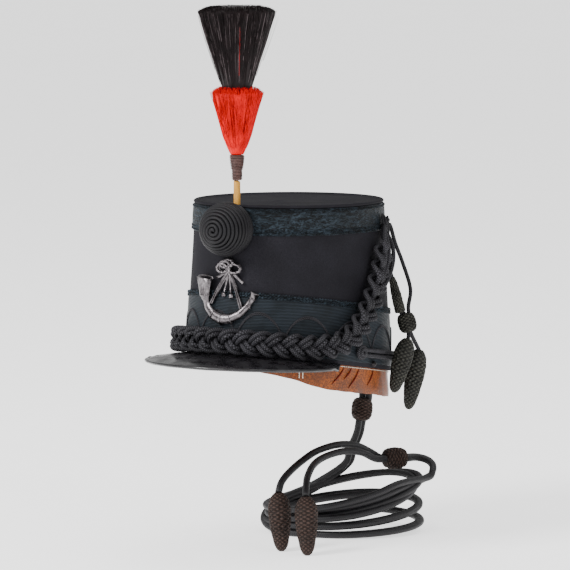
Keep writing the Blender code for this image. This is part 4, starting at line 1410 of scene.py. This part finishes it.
    def make(self) -> None:
        """Makes plait, knots, end loops, rosettes and rim cords."""
        self.strands()
        for side, angle in self.knots:
            made = Mesher()
            made.tube(self.knot(angle), self.knot_cord, 10, closed=True)
            made.tube(self.knot(angle, 1.25, 0.7), self.knot_cord * 0.8, 10, closed=True)
            made.finish(f"knot_loops_{side}", FINE_BRAID, f"side_knot_{side}")
        loops = Mesher()
        for places in self.end_loops:
            path = [self.shape.point(*place) for place in places]
            loops.tube(through(path, self.step), self.loop_cord, 10)
        loops.finish("plait_end_loops", BRAID)
        self.rim()


@dataclass(frozen=True)
class Laps:
    """How the laps of one body line lie in the coil, in millimetres, but for lean, in radians.

    Each lap has its distance outside the coil's middle line and its height over the floor. Drop is the height
    from which the line comes down to its first lap, and lean turns the place where the laps fan out.
    """

    outs: tuple[float, float, float, float]
    levels: tuple[float, float, float, float]
    drop: float
    lean: float


@dataclass(frozen=True)
class LineEnd:
    """One body line's last stretch: its bend, its way from the lower slide, and its acorn's tip."""

    bend_middle: tuple[float, float, float]
    bend_radius: float
    route: Route
    tip: tuple[float, float, float]


@dataclass(frozen=True)
class Net:
    """A netted form: its outline in shares, its largest radius in millimetres, its ridges and its finish."""

    shares: Profile
    radius: float
    ridges: int
    finish: Finish


@dataclass(frozen=True)
class Seat:
    """Where a slide sits on the body lines: its middle and half its length in millimetres, and its axis."""

    middle: tuple[float, float, float]
    axis: tuple[float, float, float]
    half: float


ACORN = ((0, .4), (.04, .62), (.12, .87), (.26, 1), (.46, .95), (.7, .8), (.9, .6), (.97, .42), (1, .2))
SLIDE = ((0, .62), (.07, .84), (.25, .98), (.5, 1), (.75, .98), (.93, .84), (1, .62))
SLEEVE = ((0, .54), (.1, .68), (.5, .84), (1, 1))


@dataclass
class Lines:
    """The tassels on the left knot, and the doubled body lines with their slides, coil and acorns.

    Sizes are in millimetres and angles in degrees. The places of the tassels are angles from the front,
    heights and distances off the crown's side.
    """

    shape: CrownShape
    plait: Plait
    tassel_cord: float = 3.4
    tassel_step: float = 1.8
    body_cord: float = 6.0
    body_step: float = 2.2
    spread: float = 3.3
    sleeve: Net = Net(SLEEVE, 5.0, 9, GREEN_NET)
    tassel_slide: Net = Net(SLIDE, 7.8, 14, GREEN_NET)
    tassel_acorn: Net = Net(ACORN, 8.6, 11, GREEN_NET)
    upper_slide: Net = Net(SLIDE, 9.2, 14, NET)
    lower_slide: Net = Net(SLIDE, 9.4, 14, NET)
    line_acorn: Net = Net(ACORN, 9.8, 12, NET)
    # The sleeve's head and foot, the slide's middle, axis and half length, each acorn's head and foot, and
    # the outer cord's way down to the slide.
    sleeve_ends: Route = ((107, 73, 9), (111, 44, 13))
    tassel_place: tuple[float, float, float] = (113, 34, 17.5)
    tassel_axis: tuple[float, float, float] = (-0.25, -0.1, 1)
    tassel_half: float = 8.0
    hanging: tuple[Route, ...] = (((110, 21, 18.8), (103.5, -23, 8)), ((122, 9, 25), (118.5, -41, 13.5)))
    outer_way: Route = ((116.5, 100, 10), (117.5, 84, 15), (117.5, 62, 20.5))
    upper_seat: Seat = Seat((8, 109.4, -52.3), (0.06, 0.08, 1), 9.5)
    lower_seat: Seat = Seat((42, 107, -92.3), (-0.55, -0.83, 0.04), 10.5)
    # The body lines' way down the back: across, height and distance off the crown, and then to the coil.
    back: Route = ((0, 88.9, 3.4), (1, 70, 6.4), (3, 30, 9.4), (5, 0, 10.6), (7, -24, 11), (8, -42.3, 11.4))
    down: Route = ((4.6, 108.7, -74), (-2.4, 109.2, -88), (-8.4, 109.8, -102))
    coil_middle: tuple[float, float] = (11.6, 71.2)
    coil_turn: float = 31.0
    coil_long: float = 62.0
    coil_wide: float = 45.0
    coil_step: float = 22.14
    coil_points: int = 59
    coil_foot: float = 3.2
    laps: tuple[Laps, Laps] = (Laps((6.5, -0.5, 5.5, 0), (3.2, 9.2, 15.2, 21), 38, 0.35),
                               Laps((0, 6, -1.5, 5), (3.2, 9.4, 15.6, 22), 34, 0.15))
    # The bend from the coil up to the lower slide: turns and heights.
    bend: Profile = ((-20, -107), (10, -103), (40, -99), (70, -96), (100, -94), (132, -93))
    ends: tuple[LineEnd, LineEnd] = (
        LineEnd((58.5, 117, 0), 14.0,
                ((29.5, 86, -85), (26, 68, -77.5), (21.2, 45, -74.5), (16, 20, -77), (14.6, -2, -82.5),
                 (14.4, -23, -89.5), (15.6, -38, -96), (17.4, -46, -103.7)), (23, -50, FLOOR)),
        LineEnd((61.5, 114, 0), 12.5,
                ((37, 82, -90), (33.5, 64, -82.5), (28, 43, -79.5), (24.5, 20, -81), (27, -4, -84.5),
                 (35, -28, -91), (43, -44, -97.5), (47.5, -52, -103.7)), (52, -57, FLOOR)))

    def form(self, name: str, node: str, start: Vector, end: Vector, net: Net) -> bpy.types.Object:
        """Makes a netted acorn, slide or sleeve.

        Args:
            name: the piece's name.
            node: the node that it replaces.
            start: its head.
            end: its foot.
            net: its form and finish.

        Returns:
            The piece.
        """
        def relief(share: float, around: float) -> float:
            """Gives the net's ridges, which fade out at both ends."""
            wave = math.sin(math.tau * (net.ridges * around + 0.5 * math.sin(share * 19)))
            return 0.55 * wave * math.sin(math.pi * min(1.0, max(0.0, share))) - 0.4

        made = Mesher()
        made.turned(start, end, net.shares, net.radius, relief)
        return made.finish(name, net.finish, node)

    def lay(self, name: str, path: list[Vector], diameter: float, nodes: Sequence[str],
            pieces: Sequence[bpy.types.Object], lay: str, finish: Finish) -> None:
        """Args:
            name: the cord's name.
            path: its middle line.
            diameter: its diameter.
            nodes: the nodes that it replaces.
            pieces: the pieces on it; not used.
            lay: how it lies; not used.
            finish: its finish.
        """
        made = Mesher()
        made.tube(path, diameter / 2, 12)
        cord = made.finish(name, finish, *nodes)
        # Every fourth point is taken for a route, which keeps both ends.
        route = [tuple(point * MM) for point in path[::4]]
        if (len(path) - 1) % 4:
            route.append(tuple(path[-1] * MM))

    def tassels(self) -> None:
        """Makes the sleeve, the slide, two acorns and the two cords they hang on."""
        at = self.shape.point
        radius = self.plait.knot_cord
        knot = self.plait.knot(self.plait.knots[1][1])
        foot = min(knot, key=attrgetter("z")) - Vector((0, 0, radius))
        back = max(knot, key=attrgetter("y")) + Vector((0, radius, 0))
        sleeve_head, sleeve_foot = (at(*place) for place in self.sleeve_ends)
        axis = Vector(self.tassel_axis).normalized()
        middle = at(*self.tassel_place)
        head, tail = middle + axis * self.tassel_half, middle - axis * self.tassel_half
        outwards = self.shape.facing(middle)
        outwards = (outwards - axis * outwards.dot(axis)).normalized()
        sleeve = self.form("sleeve_net", "tassel_sleeve", sleeve_head, sleeve_foot, self.sleeve)
        slide = self.form("slide_net", "tassel_slide", head, tail, self.tassel_slide)
        acorns, tops, exits = [], [], []
        for number, (start, end) in enumerate(self.hanging, 1):
            tops.append(at(*start))
            acorns.append(self.form(f"hanging_acorn_{number}_net", f"hanging_acorn_{number}", tops[-1],
                                    at(*end), self.tassel_acorn))
            exits.append(tail.lerp(tail + Vector((0, (-2.4, 2.4)[number - 1], 0)), 0.7))
        inner = [foot, foot - Vector((0, 0, 4)), sleeve_head + (sleeve_head - sleeve_foot).normalized() * 5,
                 sleeve_head, sleeve_foot, head, exits[0], tops[0] + Vector((0, 0, -1))]
        outer = [back, back + Vector((0, 4, -0.5)), *(at(*place) for place in self.outer_way),
                 head + outwards * 4.4 + axis * 4, middle + outwards * 3, exits[1],
                 tops[1] + Vector((0, 0, -1))]
        self.lay("tassel_line_1", through(inner, self.tassel_step), self.tassel_cord,
                 ("tassel_cord_inner", "tassel_tail_1"), (sleeve, slide, acorns[0]), "hanging", FINE_BRAID)
        self.lay("tassel_line_2", through(outer, self.tassel_step), self.tassel_cord,
                 ("tassel_cord_outer", "tassel_tail_2"), (acorns[1],), "hanging", FINE_BRAID)

    def turns(self, side: int) -> list[Vector]:
        """Gives the loose turns of one body line, from the coil's back to the lower slide.

        The laps lie on each other at the left and fan out at the right, up to the slide that they carry.

        Args:
            side: -1 for the first line and 1 for the second.

        Returns:
            The turns.
        """
        slant = math.radians(self.coil_turn)
        long = Vector((math.cos(slant), math.sin(slant), 0))
        wide = Vector((-long.y, long.x, 0))
        centre = Vector((*self.coil_middle, 0))
        laps = self.laps[0 if side < 0 else 1]
        points = []
        for at in range(1, self.coil_points + 1):
            turned = at * self.coil_step
            lap = min(3.0, turned / 360)
            low = int(lap)
            part = lap - low
            following = min(low + 1, 3)
            out = laps.outs[low] * (1 - part) + laps.outs[following] * part
            out += 1.6 * math.sin(turned * 0.031 + side)
            # A lap lies flat for its first half and then climbs onto the next.
            climbed = max(0.0, part - 0.5) * 2
            pile = laps.levels[low] * (1 - climbed) + laps.levels[following] * climbed
            angle = math.radians(90 + turned)
            fan = (0.5 + 0.5 * math.cos(angle - laps.lean)) ** 1.5
            level = pile + max(0.0, 1 - turned / 130) ** 1.5 * laps.drop
            level += (0.45 + 0.42 * lap) * fan * (pile - self.coil_foot)
            points.append(centre + long * (self.coil_long + out) * math.cos(angle)
                          + wide * (self.coil_wide + out) * math.sin(angle) + Vector((0, 0, FLOOR + level)))
        return points

    def body(self) -> None:
        """Makes the doubled body lines with both slides and both acorns."""
        up_axis, low_axis = (Vector(seat.axis).normalized() for seat in (self.upper_seat, self.lower_seat))
        up_middle, low_middle = Vector(self.upper_seat.middle), Vector(self.lower_seat.middle)
        up_half, low_half = up_axis * self.upper_seat.half, low_axis * self.lower_seat.half
        upper = self.form("upper_slide_net", "line_slide_upper", up_middle + up_half, up_middle - up_half,
                          self.upper_slide)
        lower = self.form("lower_slide_net", "line_slide_lower", low_middle + low_half, low_middle - low_half,
                          self.lower_slide)
        for number, (side, end) in enumerate(zip((-1, 1), self.ends), 1):
            acorn = self.form(f"line_acorn_{number}_net", f"line_acorn_{number}", Vector(end.route[-1]),
                              Vector(end.tip), self.line_acorn)
            apart = Vector((side * self.spread, 0, 0))
            behind = up_axis.cross(Vector((1, 0, 0))).normalized() * side * self.spread
            west = low_axis.cross(Vector((0, 0, 1))).normalized() * -side * self.spread
            path = [Vector((across, self.shape.point(180, height, off).y, height)) + apart
                    for across, height, off in self.back]
            path.append(up_middle - up_half + behind)
            path.extend(Vector(point) + behind for point in self.down)
            path.extend(self.turns(side))
            for turn, height in self.bend:
                out = Vector((end.bend_radius * math.cos(math.radians(turn)),
                              end.bend_radius * math.sin(math.radians(turn)), height))
                path.append(Vector(end.bend_middle) + out)
            path.extend([low_middle - low_axis * 9 + west, low_middle + low_half + west])
            path.extend(Vector(point) for point in end.route)
            nodes = [f"line_back_{number}", f"line_drop_{number}", f"line_end_{number}"]
            pieces = [acorn]
            if number == 1:
                nodes.append("line_coil")
                pieces.extend([upper, lower])
            self.lay(f"body_line_{number}", through(path, self.body_step), self.body_cord, nodes, pieces,
                     "coiled", LINE_BRAID)

    def make(self) -> None:
        """Makes tassels, body lines and the ring that holds them."""
        refined("back_ring", "back_ring_wire", CASTING, 2)
        self.tassels()
        self.body()


@dataclass(frozen=True)
class Softbox:
    """A soft square light: its place and side in metres, and its power in watts."""

    name: str
    place: tuple[float, float, float]
    side: float
    power: float


@dataclass
class Studio:
    """The floor, the lights and the camera at the photograph's angle, in metres, degrees and pixels."""

    azimuth: float = 31.0
    far: float = 3.3
    high: float = 0.410
    aim: float = 0.065
    focal: float = 3950.0
    side: float = 570.0
    shift: float = -4.0
    sensor: float = 36.0
    floor_half: float = 30.0
    glow: float = 1.1
    air: float = 0.72
    lamp_aim: float = 0.05
    lamps: tuple[Softbox, ...] = (Softbox("left softbox", (-0.9, -2.2, 1.7), 0.9, 88),
                                  Softbox("right softbox", (2.6, -0.6, 1.3), 1.2, 16),
                                  Softbox("top softbox", (0.2, 0.6, 2.4), 1.8, 20))

    def floor(self) -> None:
        """Lays the floor, a table that shines a little, so that it is pale while the cloth stays black."""
        half, high = self.floor_half, FLOOR * MM
        mesh = bpy.data.meshes.new("floor")
        mesh.from_pydata([(-half, -half, high), (half, -half, high), (half, half, high), (-half, half, high)],
                         [], [(0, 1, 2, 3)])
        paper = PAPER.material()
        shader = paper.node_tree.nodes["Principled BSDF"]
        shader.inputs["Emission Color"].default_value = (1, 1, 1, 1)
        shader.inputs["Emission Strength"].default_value = self.glow
        mesh.materials.append(paper)
        placed("floor", mesh)

    def lights(self) -> None:
        """Sets up the white air and the soft lights, which face the hat."""
        world = bpy.data.worlds.new("studio air")
        world.use_nodes = True
        background = world.node_tree.nodes["Background"]
        background.inputs["Color"].default_value = (1, 1, 1, 1)
        background.inputs["Strength"].default_value = self.air
        bpy.context.scene.world = world
        for box in self.lamps:
            data = bpy.data.lights.new(box.name, "AREA")
            data.size, data.energy = box.side, box.power
            lamp = placed(box.name, data)
            lamp.location = box.place
            way = Vector((0, 0, self.lamp_aim)) - Vector(box.place)
            lamp.rotation_euler = way.to_track_quat("-Z", "Y").to_euler()

    def camera(self) -> None:
        """Adds the camera, framed for a square picture."""
        data = bpy.data.cameras.new("photo camera")
        data.sensor_width = self.sensor
        data.lens = self.focal * data.sensor_width / self.side
        data.shift_x = self.shift / self.side
        data.clip_end = 100.0
        camera = placed("photo camera", data)
        turn = math.radians(self.azimuth)
        camera.location = (self.far * math.sin(turn), -self.far * math.cos(turn), self.high)
        way = Vector((0, 0, self.aim)) - camera.location
        camera.rotation_euler = way.to_track_quat("-Z", "Y").to_euler()
        bpy.context.scene.camera = camera

    def make(self) -> None:
        """Sets up floor, air, lights and camera."""
        self.floor()
        self.lights()
        self.camera()


def main() -> None:
    """Builds every part of the hat and the studio."""
    logging.basicConfig(level=logging.INFO, format="%(name)s %(message)s")
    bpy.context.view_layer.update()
    shape = CrownShape()
    plait = Plait(shape)
    Studio().make()
    Lines(shape, plait).make()
    Crown(shape).make()
    Peak().make()
    Boss(shape).make()
    Badge(shape).make()
    plait.make()
    Plume(shape).make()


if __name__ == "__main__":
    main()
